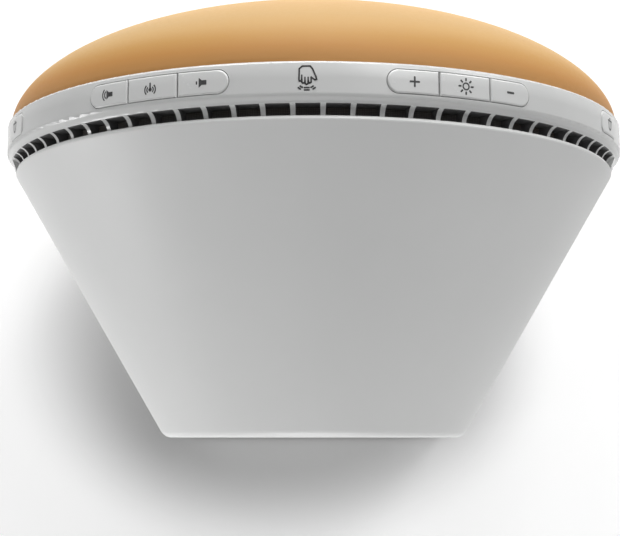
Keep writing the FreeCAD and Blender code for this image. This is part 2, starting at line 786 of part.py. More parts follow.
def make_rear_housing():
    """A cone that runs back to a small flat face, with its underside carried down to the base."""
    body = new_body("rear_housing")
    low = f"-{BASE}"
    sections = []
    steps = 5
    for step in range(steps + 1):
        turn = math.pi / 2 * step / steps
        depth = f"rear_round * {1 - math.sin(turn):.9f}"
        radius = taper_radius(depth, f"rear_round * {1 - math.cos(turn):.9f}")
        sections.insert(0, add_section(body, f"rear_section_{step}", depth, radius, "straight", low))
    sections.append(add_section(body, "taper_section", "shell_taper", "shell_front_radius", None, low))
    sections.append(add_section(body, "front_section", "shell_depth", "shell_edge_radius", None, low))
    add_loft(body, "shell", sections)
    add_loft(body, "hollow", [
        add_section(body, "rear_hollow", "rear_wall", taper_radius("rear_wall", "shell_wall"), "straight", low),
        add_section(body, "taper_hollow", "shell_taper", "shell_front_radius - shell_wall", None, low),
        add_section(body, "front_hollow", "shell_depth", "shell_edge_radius - shell_wall", None, low),
    ], cut=True)

    edge = new_sketch(body, "YZ_Plane", "front_edge_profile")
    draw_outline(edge, [
        ("shell_edge_radius - edge_round", "shell_depth"),
        ("shell_edge_radius - 0.45 * edge_round", "shell_depth - 0.4 * edge_round"),
        ("shell_edge_radius", "shell_depth - 1.5 * edge_round"),
        ("shell_edge_radius + 1", "shell_depth - 1.5 * edge_round"),
        ("shell_edge_radius + 1", "shell_depth"),
    ])
    add_turned(body, edge, "front_edge_round", "2 * cove_half_angle", cut=True)

    bosses = new_sketch(body, "XY_Plane", "screw_bosses", "rear_wall - 0.5")
    for across, up in post_places():
        draw_circle(bosses, "rear_boss_radius", across, up)
    add_pad(body, bosses, "screw_boss_pads", "post_end - seat_gap - rear_wall + 0.5")
    small = new_sketch(body, "XY_Plane", "speaker_bosses", "rear_wall - 0.5")
    for across, up in speaker_screw_places():
        draw_circle(small, "speaker_boss_radius", across, up)
    add_pad(body, small, "speaker_boss_pads", "gasket_wall + speaker_flange + 0.5")
    columns = new_sketch(body, "XZ_Plane", "base_bosses", f"{FLOOR} - seat_gap")
    for side, depth in base_screw_places():
        draw_circle(columns, "base_boss_radius", side, depth)
    add_pad(body, columns, "base_boss_pads", "base_boss_height", reverse=True)
    for index, (side, depth) in enumerate(base_screw_places()):
        web = new_sketch(body, "XZ_Plane", f"base_web_{index}", f"{FLOOR} - seat_gap")
        sign = "-" if side.startswith("-") else ""
        wall = f"{sign}({side_at(depth, FLOOR)} - shell_wall / 4)"
        left, right = sorted((side, wall), key=worth)
        draw_box(web, left, right, f"{depth} - web_width / 2", f"{depth} + web_width / 2")
        add_pad(body, web, f"base_web_pad_{index}", "base_boss_height", reverse=True)

    holes = new_sketch(body, "XY_Plane", "screw_holes", "0")
    for across, up in post_places():
        draw_circle(holes, "screw_radius + screw_hole_gap", across, up)
    add_pocket(body, holes, "screw_hole_cut", "post_end + 1", forward=True)
    wells = new_sketch(body, "XY_Plane", "screw_wells", "0")
    for across, up in post_places():
        draw_circle(wells, "screw_head + screw_hole_gap", across, up)
    add_pocket(body, wells, "screw_well_cut", "post_end / 2", forward=True)
    pilots = new_sketch(body, "XY_Plane", "speaker_pilots", "rear_wall + gasket_wall + speaker_flange + 1")
    for across, up in speaker_screw_places():
        draw_circle(pilots, "small_screw_radius + screw_bore_gap", across, up)
    add_pocket(body, pilots, "speaker_pilot_cut", "rear_wall / 2 + gasket_wall + speaker_flange + 1")
    taps = new_sketch(body, "XZ_Plane", "base_pilots", f"{FLOOR} + 1")
    for side, depth in base_screw_places():
        draw_circle(taps, "small_screw_radius + screw_bore_gap", side, depth)
    add_pocket(body, taps, "base_pilot_cut", "base_boss_height - 1")
    sockets = new_sketch(body, "XY_Plane", "socket_holes", "0")
    draw_circle(sockets, "inlet_radius + socket_gap", "inlet_x", "inlet_y")
    draw_circle(sockets, "antenna_radius + socket_gap", "antenna_x", "inlet_y")
    add_pocket(body, sockets, "socket_hole_cut", "rear_wall + 1", forward=True)

    middle = new_sketch(body, "XY_Plane", "grille_middle", middle=("0", "speaker_y"))
    draw_circle(middle, "grille_hole")
    add_pocket(body, middle, "grille_middle_cut", "rear_wall + 1", forward=True)
    for ring in range(1, int(worth("grille_rings")) + 1):
        hole = new_sketch(body, "XY_Plane", f"grille_hole_{ring}", middle=("0", "speaker_y"))
        draw_circle(hole, "grille_hole", f"{ring} * grille_pitch")
        cut = add_pocket(body, hole, f"grille_cut_{ring}", "rear_wall + 1", forward=True)
        add_round_pattern(body, cut, hole, f"grille_ring_{ring}", "360", f"{6 * ring}", axis="N_Axis")
    keep("rear_housing", body)


def make_base_plate():
    """Closes the housing from below, between its side walls."""
    body = new_body("base_plate")
    low = f"-{BASE}"
    inset = "shell_wall + base_gap"
    near = "(rear_wall + base_gap)"
    add_loft(body, "plate", [
        add_section(body, "plate_rear", near, taper_radius(near, inset), "straight", low),
        add_section(body, "plate_taper", "shell_taper", f"shell_front_radius - ({inset})", None, low),
        add_section(body, "plate_front", "shell_depth", f"shell_edge_radius - ({inset})", None, low),
    ])
    above_plate = new_sketch(body, "XY_Plane", "plate_top", "0")
    draw_box(above_plate, "-rim_radius", "rim_radius", f"-{FLOOR}", "rim_radius")
    add_pocket(body, above_plate, "plate_top_cut", forward=True)
    holes = new_sketch(body, "XZ_Plane", "plate_holes", f"{BASE} + 1")
    for side, depth in base_screw_places():
        draw_circle(holes, "small_screw_radius + screw_hole_gap", side, depth)
    add_pocket(body, holes, "plate_hole_cut", "base_wall + 2")
    sinks = new_sketch(body, "XZ_Plane", "plate_sinks", f"{BASE} + 1")
    for side, depth in base_screw_places():
        draw_circle(sinks, "small_screw_head + screw_hole_gap", side, depth)
    add_pocket(body, sinks, "plate_sink_cut", "small_screw_head_height + 1.1")
    door = new_sketch(body, "XZ_Plane", "door_opening", f"{BASE} + 1")
    half = "(door_width / 2 + door_gap)"
    draw_box(door, f"-{half}", half, f"door_middle - {half}", f"door_middle + {half}")
    add_pocket(body, door, "door_opening_cut", "door_wall + 1 + seat_gap")
    cell = new_sketch(body, "XZ_Plane", "cell_opening", f"{BASE} + 1")
    draw_circle(cell, "cell_radius + cell_gap", "0", "door_middle")
    draw_circle(cell, "small_screw_radius + screw_bore_gap", "0", DOOR_SCREW)
    add_pocket(body, cell, "cell_opening_cut", "base_wall + 2")
    keep("base_plate", body)


def make_battery_parts():
    """A door in the base, a coin cell above it and the holder that it sits in."""
    body = new_body("battery_door")
    outline = new_sketch(body, "XZ_Plane", "door_outline", BASE)
    half = "(door_width / 2)"
    draw_box(outline, f"-{half}", half, f"door_middle - {half}", f"door_middle + {half}")
    add_pad(body, outline, "door", "door_wall", reverse=True)
    hole = new_sketch(body, "XZ_Plane", "door_screw_hole", f"{BASE} + 1")
    draw_circle(hole, "small_screw_radius + screw_hole_gap", "0", DOOR_SCREW)
    add_pocket(body, hole, "door_screw_cut", "door_wall + 2")
    sink = new_sketch(body, "XZ_Plane", "door_screw_sink", f"{BASE} + 1")
    draw_circle(sink, "small_screw_head + screw_hole_gap", "0", DOOR_SCREW)
    add_pocket(body, sink, "door_sink_cut", "door_wall / 2 + 1")
    grip = new_sketch(body, "XZ_Plane", "door_grip", f"{BASE} + 1")
    for step in range(int(worth("grip_count"))):
        low = f"door_middle - door_width / 3 + {step} * grip_pitch"
        draw_box(grip, "-grip_width / 2", "grip_width / 2", low, f"{low} + grip_pitch / 2")
    add_pocket(body, grip, "door_grip_cut", "1 + grip_depth")
    keep("battery_door", body)

    body = new_body("coin_cell")
    disc = new_sketch(body, "XZ_Plane", "cell_outline", f"{BASE} - door_wall - seat_gap")
    draw_circle(disc, "cell_radius", "0", "door_middle")
    pad = add_pad(body, disc, "cell", "cell_height", reverse=True)
    add_fillet(body, pad, "cell_rounds", "cell_round", lambda edge: isinstance(edge.Curve, Part.Circle))
    keep("coin_cell", body)

    body = new_body("coin_cell_holder")
    block = new_sketch(body, "XZ_Plane", "holder_outline", f"{FLOOR} - seat_gap")
    half = "(holder_width / 2)"
    draw_box(block, f"-{half}", half, f"door_middle - {half}", f"door_middle + {half}")
    add_pad(body, block, "holder", "holder_height", reverse=True)
    well = new_sketch(body, "XZ_Plane", "holder_well", f"{FLOOR} + 1")
    draw_circle(well, "cell_radius + cell_gap", "0", "door_middle")
    add_pocket(body, well, "holder_well_cut", "cell_height + door_wall - base_wall + cell_gap + 1")
    tap = new_sketch(body, "XZ_Plane", "holder_pilot", f"{FLOOR} + 1")
    draw_circle(tap, "small_screw_radius + screw_bore_gap", "0", DOOR_SCREW)
    add_pocket(body, tap, "holder_pilot_cut", "holder_height - 1")
    keep("coin_cell_holder", body)


# The chassis and what it carries

def lamp_screw_places():
    places = []
    count = int(worth("lamp_screw_count"))
    for index in range(count):
        angle = 2 * math.pi * index / count + math.pi / 2
        places.append((f"lamp_screw_ring * {math.cos(angle):.9f}", f"lamp_screw_ring * {math.sin(angle):.9f}"))
    return places


def board_screw_places():
    side = "(main_board_width / 2 - board_screw_inset)"
    top = "(main_board_top - board_screw_inset)"
    bottom = "(main_board_bottom - board_screw_inset)"
    return [(side, top), (f"-{side}", top), (side, f"-{bottom}"), (f"-{side}", f"-{bottom}")]


def make_inner_chassis():
    """A black plate across the rim that carries the lamp in front and the main board behind."""
    body = new_body("inner_chassis")
    low = "-chassis_bottom"
    plate = new_sketch(body, "XY_Plane", "plate_outline", "chassis_rear")
    draw_cut_circle(plate, "chassis_radius", low)
    add_pad(body, plate, "plate", "chassis_wall")
    wall = new_sketch(body, "YZ_Plane", "rim_profile")
    inside = "chassis_radius - chassis_rim_wall"
    draw_box(wall, inside, "chassis_radius", "chassis_rim_low", "key_board_low - seat_gap")
    add_turned(body, wall, "rim_wall")
    below = new_sketch(body, "XY_Plane", "bottom_outline", "chassis_rim_low - 1")
    draw_box(below, "-rim_radius", "rim_radius", "-rim_radius", low)
    add_pocket(body, below, "bottom_cut", forward=True)
    for index, angle in enumerate(lug_angles().values()):
        notch = new_sketch(body, "XY_Plane", f"lug_notch_{index}", "chassis_rear + chassis_wall")
        lift = worth("chassis_rear + chassis_wall")
        spin = Rotation(Vector(0, 0, 1), -angle)
        notch.AttachmentOffset = Placement(Vector(0, 0, lift), spin)
        draw_box(notch, "-lug_width / 2 - 1", "lug_width / 2 + 1", "lug_radius - 4", "chassis_radius + 3")
        add_pocket(body, notch, f"lug_notch_cut_{index}", "pilot_depth", forward=True)
        hole = new_sketch(body, "XY_Plane", f"lug_hole_{index}", "chassis_rim_low - 1")
        hole.AttachmentOffset = Placement(Vector(0, 0, worth("chassis_rim_low - 1")), spin)
        draw_circle(hole, "small_screw_radius + screw_hole_gap", "0", "lug_radius")
        add_pocket(body, hole, f"lug_hole_cut_{index}", "chassis_wall + 4", forward=True)

    posts = new_sketch(body, "XY_Plane", "housing_posts", "post_end")
    for across, up in post_places():
        draw_circle(posts, "post_radius", across, up)
        draw_circle(posts, "screw_radius + screw_bore_gap", across, up)
    add_pad(body, posts, "housing_post_pads", "chassis_rear - post_end + 0.5")
    standoffs = new_sketch(body, "XY_Plane", "board_standoffs", "main_board_rear + board_wall + seat_gap")
    for across, up in board_screw_places():
        draw_circle(standoffs, "standoff_radius", across, up)
        draw_circle(standoffs, "small_screw_radius + screw_bore_gap", across, up)
    height = "chassis_rear - main_board_rear - board_wall - seat_gap + 0.5"
    add_pad(body, standoffs, "board_standoff_pads", height)
    seats = new_sketch(body, "XY_Plane", "lamp_seats", "chassis_rear + chassis_wall - 0.5")
    for across, up in lamp_screw_places():
        draw_circle(seats, "standoff_radius", across, up)
    add_pad(body, seats, "lamp_seat_pads", "key_board_low - seat_gap - chassis_rear - chassis_wall + 0.5")
    taps = new_sketch(body, "XY_Plane", "lamp_pilots", "chassis_rear - 1")
    for across, up in lamp_screw_places():
        draw_circle(taps, "small_screw_radius + screw_bore_gap", across, up)
    add_pocket(body, taps, "lamp_pilot_cut", "pilot_depth", forward=True)
    window = new_sketch(body, "XY_Plane", "ribbon_window", "chassis_rear - 1")
    half = "(ribbon_width / 2 + 2)"
    draw_box(window, f"-{half}", half, "-ribbon_window_height / 2", "ribbon_window_height / 2")
    add_pocket(body, window, "ribbon_window_cut", "chassis_wall + 2", forward=True)
    keep("inner_chassis", body)


def make_arc_piece(name, inner, outer, low, high, half_angle):
    """A band between two radii and two depths, evenly each side of the top."""
    body = new_body(name)
    profile = new_sketch(body, "YZ_Plane", name + "_profile")
    draw_box(profile, inner, outer, low, high)
    add_turned(body, profile, name + "_band", f"2 * ({half_angle})")
    return keep(name, body)


def make_ring_parts():
    """The mesh behind the vents, the keys' board, and the touch pad under the hand sign."""
    make_arc_piece(
        "dust_mesh", "chassis_radius + seat_gap", "chassis_radius + seat_gap + mesh_wall",
        "mesh_low", "key_board_low - seat_gap", "mesh_half_angle",
    )
    high = "key_board_low + board_wall"
    make_arc_piece("key_board", "key_board_in", "key_board_out", "key_board_low", high, "key_board_half_angle")
    bore = "rim_radius - rim_wall - seat_gap"
    make_arc_piece(
        "snooze_touch_pad", f"{bore} - touch_pad_wall", bore,
        "key_low + 0.5", "key_high - 0.5", "touch_pad_half_angle",
    )
    contact = document.addObject("Part::Box", "touch_contact_shape")
    bind(contact, "Length", "contact_width")
    bind(contact, "Width", f"{bore} - touch_pad_wall - 2 * seat_gap - key_board_in - 4")
    bind(contact, "Height", "contact_wall")
    contact.Placement.Base = Vector(
        -worth("contact_width") / 2, worth("key_board_in + 4"), worth("key_board_low + board_wall + seat_gap"),
    )
    keep("touch_contact", contact)


def make_lamp():
    """The lamp's round board, its lights and the white dish over them."""
    body = new_body("led_board")
    ring = new_sketch(body, "XY_Plane", "led_board_outline", "key_board_low")
    draw_circle(ring, "led_board_out")
    draw_circle(ring, "led_board_in")
    add_pad(body, ring, "led_board_plate", "board_wall")
    holes = new_sketch(body, "XY_Plane", "led_board_holes", "key_board_low - 1")
    for across, up in lamp_screw_places():
        draw_circle(holes, "small_screw_radius + screw_hole_gap", across, up)
    add_pocket(body, holes, "led_board_hole_cut", "board_wall + 2", forward=True)
    keep("led_board", body)

    lights = []
    for radius, count in led_rings():
        for index in range(count):
            light = document.addObject("Part::Box", f"led_{len(lights)}")
            for side in ("Length", "Width"):
                bind(light, side, "led_width")
            bind(light, "Height", "led_rise")
            half = worth("led_width") / 2
            spin = Placement(Vector(), Rotation(Vector(0, 0, 1), led_angle(index, count)))
            low = worth("key_board_low + board_wall + seat_gap")
            light.Placement = spin.multiply(Placement(Vector(worth(radius) - half, -half, low), Rotation()))
            lights.append(light)
    group("led_packages", lights)

    body = new_body("reflector")
    dish = new_sketch(body, "YZ_Plane", "dish_profile")
    draw_outline(dish, [
        ("led_board_in", "reflector_floor"),
        ("reflector_knee", "reflector_floor"),
        ("reflector_shoulder", "reflector_flange"),
        ("reflector_radius", "reflector_flange"),
        ("reflector_radius", "reflector_flange + reflector_wall"),
        ("reflector_shoulder - 0.6", "reflector_flange + reflector_wall"),
        ("reflector_knee - 0.6", "reflector_floor + reflector_wall"),
        ("led_board_in", "reflector_floor + reflector_wall"),
    ])
    add_turned(body, dish, "dish")
    below = new_sketch(body, "XY_Plane", "dish_bottom", "reflector_floor - 1")
    draw_box(below, "-rim_radius", "rim_radius", "-rim_radius", "-chassis_bottom")
    add_pocket(body, below, "dish_bottom_cut", forward=True)
    seats = new_sketch(body, "XY_Plane", "dish_seats", "key_board_low + board_wall + seat_gap")
    for across, up in lamp_screw_places():
        draw_circle(seats, "standoff_radius", across, up)
    add_pad(body, seats, "dish_seat_pads", "reflector_floor - key_board_low - board_wall - seat_gap + 0.5")
    holes = new_sketch(body, "XY_Plane", "dish_screw_holes", "key_board_low")
    for across, up in lamp_screw_places():
        draw_circle(holes, "small_screw_radius + screw_hole_gap", across, up)
    add_pocket(body, holes, "dish_screw_cut", "pilot_depth", forward=True)
    for number, (radius, count) in enumerate(led_rings()):
        window = new_sketch(body, "XY_Plane", f"dish_window_{number}", "reflector_floor - 1")
        angle = math.radians(led_angle(0, count))
        across, up = f"{radius} * {math.cos(angle):.9f}", f"{radius} * {math.sin(angle):.9f}"
        draw_circle(window, "led_window", across, up)
        cut = add_pocket(body, window, f"dish_window_cut_{number}", "reflector_wall + 2", forward=True)
        add_round_pattern(body, cut, window, f"dish_windows_{number}", "360", str(count), axis="N_Axis")
    keep("reflector", body)


def led_rings():
    """The two rings of lights: their radius and how many."""
    return [
        ("led_inner_ring", int(worth("led_inner_count"))),
        ("led_outer_ring", int(worth("led_outer_count"))),
    ]


def led_angle(index, count):
    return 360.0 * (index + 0.5) / count


def make_display():
    """A shroud that carries the display up behind the dome, the display, its board and its ribbon."""
    body = new_body("display_shroud")
    outer = ("shroud_width / 2", "shroud_height / 2")
    inner = tuple(f"({half} - shroud_wall)" for half in outer)
    board_low = "shroud_front - display_recess - display_depth - board_wall"
    tube = new_sketch(body, "XY_Plane", "shroud_outline", "chassis_rear + chassis_wall + seat_gap")
    draw_box(tube, f"-{outer[0]}", outer[0], f"-{outer[1]}", outer[1])
    draw_box(tube, f"-{inner[0]}", inner[0], f"-{inner[1]}", inner[1])
    add_pad(body, tube, "shroud_tube", "shroud_front - chassis_rear - chassis_wall - seat_gap")
    ledge = new_sketch(body, "XY_Plane", "shroud_ledge", f"{board_low} - ledge_wall")
    draw_box(ledge, f"-{outer[0]} + 0.5", f"{outer[0]} - 0.5", f"-{outer[1]} + 0.5", f"{outer[1]} - 0.5")
    draw_box(ledge, f"-{inner[0]} + 2", f"{inner[0]} - 2", f"-{inner[1]} + 2", f"{inner[1]} - 2")
    add_pad(body, ledge, "shroud_ledge_pad", "ledge_wall - seat_gap")
    keep("display_shroud", body)

    gap = "display_side_gap"
    make_block("display_board", inner[0], inner[1], gap, board_low, "board_wall - seat_gap")
    make_block("display_module", inner[0], inner[1], gap, f"{board_low} + board_wall", "display_depth")

    ribbon = document.addObject("Part::Box", "display_ribbon_shape")
    bind(ribbon, "Length", "ribbon_width")
    bind(ribbon, "Width", "ribbon_wall")
    low = "main_board_rear + board_wall + seat_gap"
    bind(ribbon, "Height", f"{board_low} - seat_gap - ({low})")
    ribbon.Placement.Base = Vector(-worth("ribbon_width") / 2, -worth("ribbon_wall") / 2, worth(low))
    keep("display_ribbon", ribbon)


def make_block(name, half_width, half_height, gap, low, height):
    """A flat block on the clock's axis."""
    body = new_body(name)
    outline = new_sketch(body, "XY_Plane", name + "_outline", low)
    across, up = f"({half_width} - {gap})", f"({half_height} - {gap})"
    draw_box(outline, f"-{across}", across, f"-{up}", up)
    pad = add_pad(body, outline, name + "_pad", height)
    corners = [Vector(side * worth(across), rise * worth(up), 0) for side in (-1, 1) for rise in (-1, 1)]

    def chosen(edge):
        ends = [vertex.Point for vertex in edge.Vertexes]
        if abs(ends[0].z - ends[1].z) < 0.1:
            return False
        return any(math.hypot(ends[0].x - spot.x, ends[0].y - spot.y) < 0.01 for spot in corners)

    add_fillet(body, pad, name + "_corners", "0.6", chosen)
    return keep(name, body)


BOARD_BLOCKS = {
    # across and up of the lower left corner, width, height, rise off the board
    "board_chips": [(-7, 4, 14, 14, 1.4), (10, -22, 8, 10, 1.6), (-20, -30, 6, 8, 1.5)],
    "radio_shield": [(-14, 22, 24, 15, 3.2)],
    "board_connectors": [(-24, -10, 6, 12, 6), (18, -2, 6, 16, 6), (-16, -50, 14, 6, 6), (4, -50, 10, 6, 6)],
}
CAPACITOR_PLACES = [(14, 22), (-14, -14), (20, -34)]


def make_main_board():
    """The main board behind the chassis, and what is soldered on it."""
    body = new_body("main_board")
    outline = new_sketch(body, "XY_Plane", "main_board_outline", "main_board_rear")
    half = "(main_board_width / 2)"
    draw_box(outline, f"-{half}", half, "-main_board_bottom", "main_board_top")
    for across, up in board_screw_places():
        draw_circle(outline, "small_screw_radius + screw_hole_gap", across, up)
    add_pad(body, outline, "main_board_plate", "board_wall")
    keep("main_board", body)

    for name, blocks in BOARD_BLOCKS.items():
        made = [board_part(f"{name}_{index}", *block) for index, block in enumerate(blocks)]
        if len(made) == 1:
            keep(name, made[0])
        else:
            group(name, made)
    cans = []
    for index, (across, up) in enumerate(CAPACITOR_PLACES):
        can = document.addObject("Part::Cylinder", f"capacitor_{index}")
        bind(can, "Radius", "capacitor_radius")
        bind(can, "Height", "capacitor_height")
        can.Placement.Base = Vector(across, up, worth("main_board_rear - seat_gap - capacitor_height"))
        cans.append(can)
    group("board_capacitors", cans)


def board_part(name, across, up, width, height, rise):
    """A block on the rear face of the main board, its lower left corner at across and up."""
    block = document.addObject("Part::Box", name)
    block.Length = width
    block.Width = height
    block.Height = rise
    block.Placement.Base = Vector(across, up, worth("main_board_rear - seat_gap") - rise)
    return block


def group(name, members):
    """Several separate solids as one piece."""
    compound = document.addObject("Part::Compound", name + "_group")
    compound.Links = members
    return keep(name, compound)


# The keys

KEYS = {
    # name: (start, end, side, round start, round end)
    "volume_down_button": ("pill_start", "pill_first", 1, True, False),
    "radio_button": ("pill_first", "pill_second", 1, False, False),
    "volume_up_button": ("pill_second", "pill_end", 1, False, True),
    "light_up_button": ("pill_start", "pill_first", -1, True, False),
    "light_button": ("pill_first", "pill_second", -1, False, False),
    "light_down_button": ("pill_second", "pill_end", -1, False, True),
    "alarm_one_button": ("alarm_start", "alarm_end", 1, True, True),
    "alarm_two_button": ("alarm_start", "alarm_end", -1, True, True),
}


def make_key(name, start, end, side, round_start, round_end):
    """A curved key: its head in the rim's opening, a flange that keeps it in and a stem to its switch."""
    body = new_body(name)
    low, high = "(key_low + key_gap)", "(key_high - key_gap)"
    middle = worth(f"({start} + {end}) / 2") * side
    near, far = worth(f"{start} + key_gap_angle"), worth(f"{end} - key_gap_angle")
    head = new_sketch(body, "YZ_Plane", name + "_head_profile", turn=-middle)
    draw_box(head, "flange_out - flange_wall", "rim_radius + key_proud", low, high)
    feature = add_turned(body, head, name + "_head", f"{end} - {start} - 2 * key_gap_angle")
    rounds = [angle for angle, wanted in ((near, round_start), (far, round_end)) if wanted]
    if rounds:
        corner = "alarm_corner - key_gap" if "alarm" in name else f"({high} - {low}) / 2 - 0.02"

        def at_round_end(edge):
            if not radial_edge(edge, worth(low), worth(high)):
                return False
            point = edge.Vertexes[0].Point
            angle = math.degrees(math.atan2(point.x, point.y)) * side
            return any(abs(angle - wanted) < 0.02 for wanted in rounds)

        feature = add_fillet(body, feature, name + "_end_rounds", corner, at_round_end)
    outside = worth("rim_radius + key_proud")

    def on_top(edge):
        spots = [edge.valueAt(edge.getParameterByLength(edge.Length * part)) for part in (0.0, 0.5, 1.0)]
        return all(abs(math.hypot(spot.x, spot.y) - outside) < 0.02 for spot in spots)

    add_fillet(body, feature, name + "_top_round", "key_round", on_top)
    lip_start = "flange_lip_angle" if round_start else "0"
    lip_end = "flange_lip_angle" if round_end else "0"
    span = f"{end} - {start} - 2 * key_gap_angle + {lip_start} + {lip_end}"
    turn = -(middle + side * (worth(lip_end) - worth(lip_start)) / 2)
    flange = new_sketch(body, "YZ_Plane", name + "_flange_profile", turn=turn)
    draw_box(flange, "flange_out - flange_wall", "flange_out", f"{low} - flange_lip", f"{high} + flange_lip")
    add_turned(body, flange, name + "_flange", span)
    stem = new_sketch(body, "YZ_Plane", name + "_stem_profile", turn=-middle)
    centre = "(key_low + key_high) / 2"
    stem_low, stem_high = f"{centre} - stem_width / 2", f"{centre} + stem_width / 2"
    draw_box(stem, "stem_end", "flange_out - flange_wall / 2", stem_low, stem_high)
    add_turned(body, stem, name + "_stem", "stem_angle")
    keep(name, body)


def make_switches():
    """A push switch under each key, on the keys' board, and the plunger that the key pushes in."""
    switches = []
    depth = "(key_board_low + board_wall + seat_gap)"
    for name, (start, end, side, _, _) in KEYS.items():
        angle = worth(f"({start} + {end}) / 2") * side
        place = Placement(Vector(), Rotation(Vector(0, 0, 1), -angle))
        block = document.addObject("Part::Box", name + "_switch_block")
        bind(block, "Length", "switch_width")
        bind(block, "Width", "switch_length")
        bind(block, "Height", "switch_rise")
        corner = Vector(-worth("switch_width") / 2, worth("switch_face - switch_length"), worth(depth))
        block.Placement = place.multiply(Placement(corner, Rotation()))
        centre = worth("(key_low + key_high) / 2")
        hidden = worth("switch_face - plunger_hidden - key_travel - 0.3")
        bore = document.addObject("Part::Cylinder", name + "_switch_bore")
        bind(bore, "Radius", "plunger_radius + plunger_gap")
        bind(bore, "Height", "plunger_hidden + key_travel + 1.3")
        upright = Rotation(Vector(1, 0, 0), -90)
        bore.Placement = place.multiply(Placement(Vector(0, hidden, centre), upright))
        switch = document.addObject("Part::Cut", name + "_switch")
        switch.Base = block
        switch.Tool = bore
        switches.append(switch)
        plunger = document.addObject("Part::Cylinder", name + "_plunger_shape")
        bind(plunger, "Radius", "plunger_radius")
        bind(plunger, "Height", "stem_end - seat_gap - switch_face + plunger_hidden")
        start_at = Vector(0, worth("switch_face - plunger_hidden"), centre)
        plunger.Placement = place.multiply(Placement(start_at, upright))
        keep(name.replace("_button", "_plunger"), plunger)
    group("tact_switches", switches)


# Speaker, sockets, feet and screws

def make_turned_piece(name, corners, middle=("0", "0")):
    """A piece turned about an axis that runs forward through a place on the rear face."""
    body = new_body(name)
    profile = new_sketch(body, "YZ_Plane", name + "_profile")
    draw_outline(profile, corners)
    add_turned(body, profile, name + "_turned")
    body.Placement = Placement(Vector(worth(middle[0]), worth(middle[1]), 0), Rotation())
    return keep(name, body)


def make_speaker():
    """A round speaker that faces back through the holes in the rear wall."""
    here = ("0", "speaker_y")
    front = "(rear_wall + seat_gap + gasket_wall)"
    edge = "(speaker_radius - speaker_ledge)"
    make_turned_piece("speaker_gasket", [
        (edge, "rear_wall + seat_gap"), ("speaker_radius", "rear_wall + seat_gap"),
        ("speaker_radius", f"{front} - seat_gap"), (edge, f"{front} - seat_gap"),
    ], here)
    make_turned_piece("speaker_frame", [
        (edge, front),
        ("speaker_radius", front),
        ("speaker_radius", f"{front} + speaker_flange"),
        ("speaker_radius - 1.6", f"{front} + speaker_flange"),
        ("magnet_radius + 1.5", "basket_end"),
        ("coil_radius", "basket_end"),
        ("coil_radius", "basket_end - basket_wall"),
        ("magnet_radius + 0.7", "basket_end - basket_wall"),
        (f"{edge} - 0.2", f"{front} + speaker_flange"),
        (edge, f"{front} + speaker_flange - 0.2"),
    ], here)
    make_turned_piece("speaker_magnet", [
        ("0", "basket_end + seat_gap"), ("magnet_radius", "basket_end + seat_gap"),
        ("magnet_radius", "basket_end + magnet_depth"), ("0", "basket_end + magnet_depth"),
    ], here)
    rim = f"({edge} - 3 * seat_gap)"
    make_turned_piece("speaker_surround", [
        (f"{rim} - 3.4", f"{front} + 0.1"),
        (f"{rim} - 1.7", f"{front} - 0.4"),
        (rim, f"{front} + 0.1"),
        (rim, f"{front} + 0.6"),
        (f"{rim} - 1.7", f"{front} + 0.1"),
        (f"{rim} - 3.4", f"{front} + 0.6"),
    ], here)
    neck = "(coil_radius + 0.2)"
    make_turned_piece("speaker_cone", [
        (neck, "basket_end - 5"), (f"{rim} - 3.45", f"{front} + 0.2"),
        (f"{rim} - 3.45", f"{front} + 0.8"), (neck, "basket_end - 4.2"),
    ], here)
    cap = f"({neck} - 0.1)"
    make_turned_piece("speaker_dust_cap", [
        ("0", "basket_end - 7"), ("4", "basket_end - 6.4"), (cap, "basket_end - 5"),
        (cap, "basket_end - 4.2"), ("4", "basket_end - 5.6"), ("0", "basket_end - 6.2"),
    ], here)


def make_sockets():
    """The power inlet and the bush that the aerial wire would leave by."""
    low = "socket_gap"
    behind = "rear_wall + seat_gap"
    inlet = ("inlet_x", "inlet_y")
    make_turned_piece("dc_inlet", [
        ("inlet_bore", low), ("inlet_radius", low),
        ("inlet_radius", behind), ("inlet_flange", behind),
        ("inlet_flange", f"{behind} + flange_depth"), ("inlet_radius", f"{behind} + flange_depth"),
        ("inlet_radius", "inlet_length"), ("0", "inlet_length"),
        ("0", "inlet_length - inlet_floor"), ("inlet_bore", "inlet_length - inlet_floor"),
    ], inlet)
    make_turned_piece("dc_inlet_pin", [
        ("0", "1.2"), ("pin_radius * 0.7", "1.2"), ("pin_radius", "2"),
        ("pin_radius", "inlet_length - inlet_floor - seat_gap"), ("0", "inlet_length - inlet_floor - seat_gap"),
    ], inlet)
    make_turned_piece("antenna_bush", [
        ("antenna_bore", low), ("antenna_radius", low),
        ("antenna_radius", behind), ("antenna_flange", behind),
        ("antenna_flange", f"{behind} + flange_depth"), ("antenna_bore", f"{behind} + flange_depth"),
    ], ("antenna_x", "inlet_y"))


def make_feet():
    feet = []
    rows = (("front_foot_side", "front_foot_depth"), ("rear_foot_side", "rear_foot_depth"))
    for side, depth in rows:
        for sign in (-1, 1):
            foot = document.addObject("Part::Cone", f"foot_{len(feet)}")
            bind(foot, "Radius1", "foot_radius")
            bind(foot, "Radius2", "foot_radius - 0.5")
            bind(foot, "Height", "foot_height")
            spot = Vector(sign * worth(side), -worth(BASE), worth(depth))
            foot.Placement = Placement(spot, Rotation(Vector(1, 0, 0), 90))
            feet.append(foot)
    group("rubber_feet", feet)


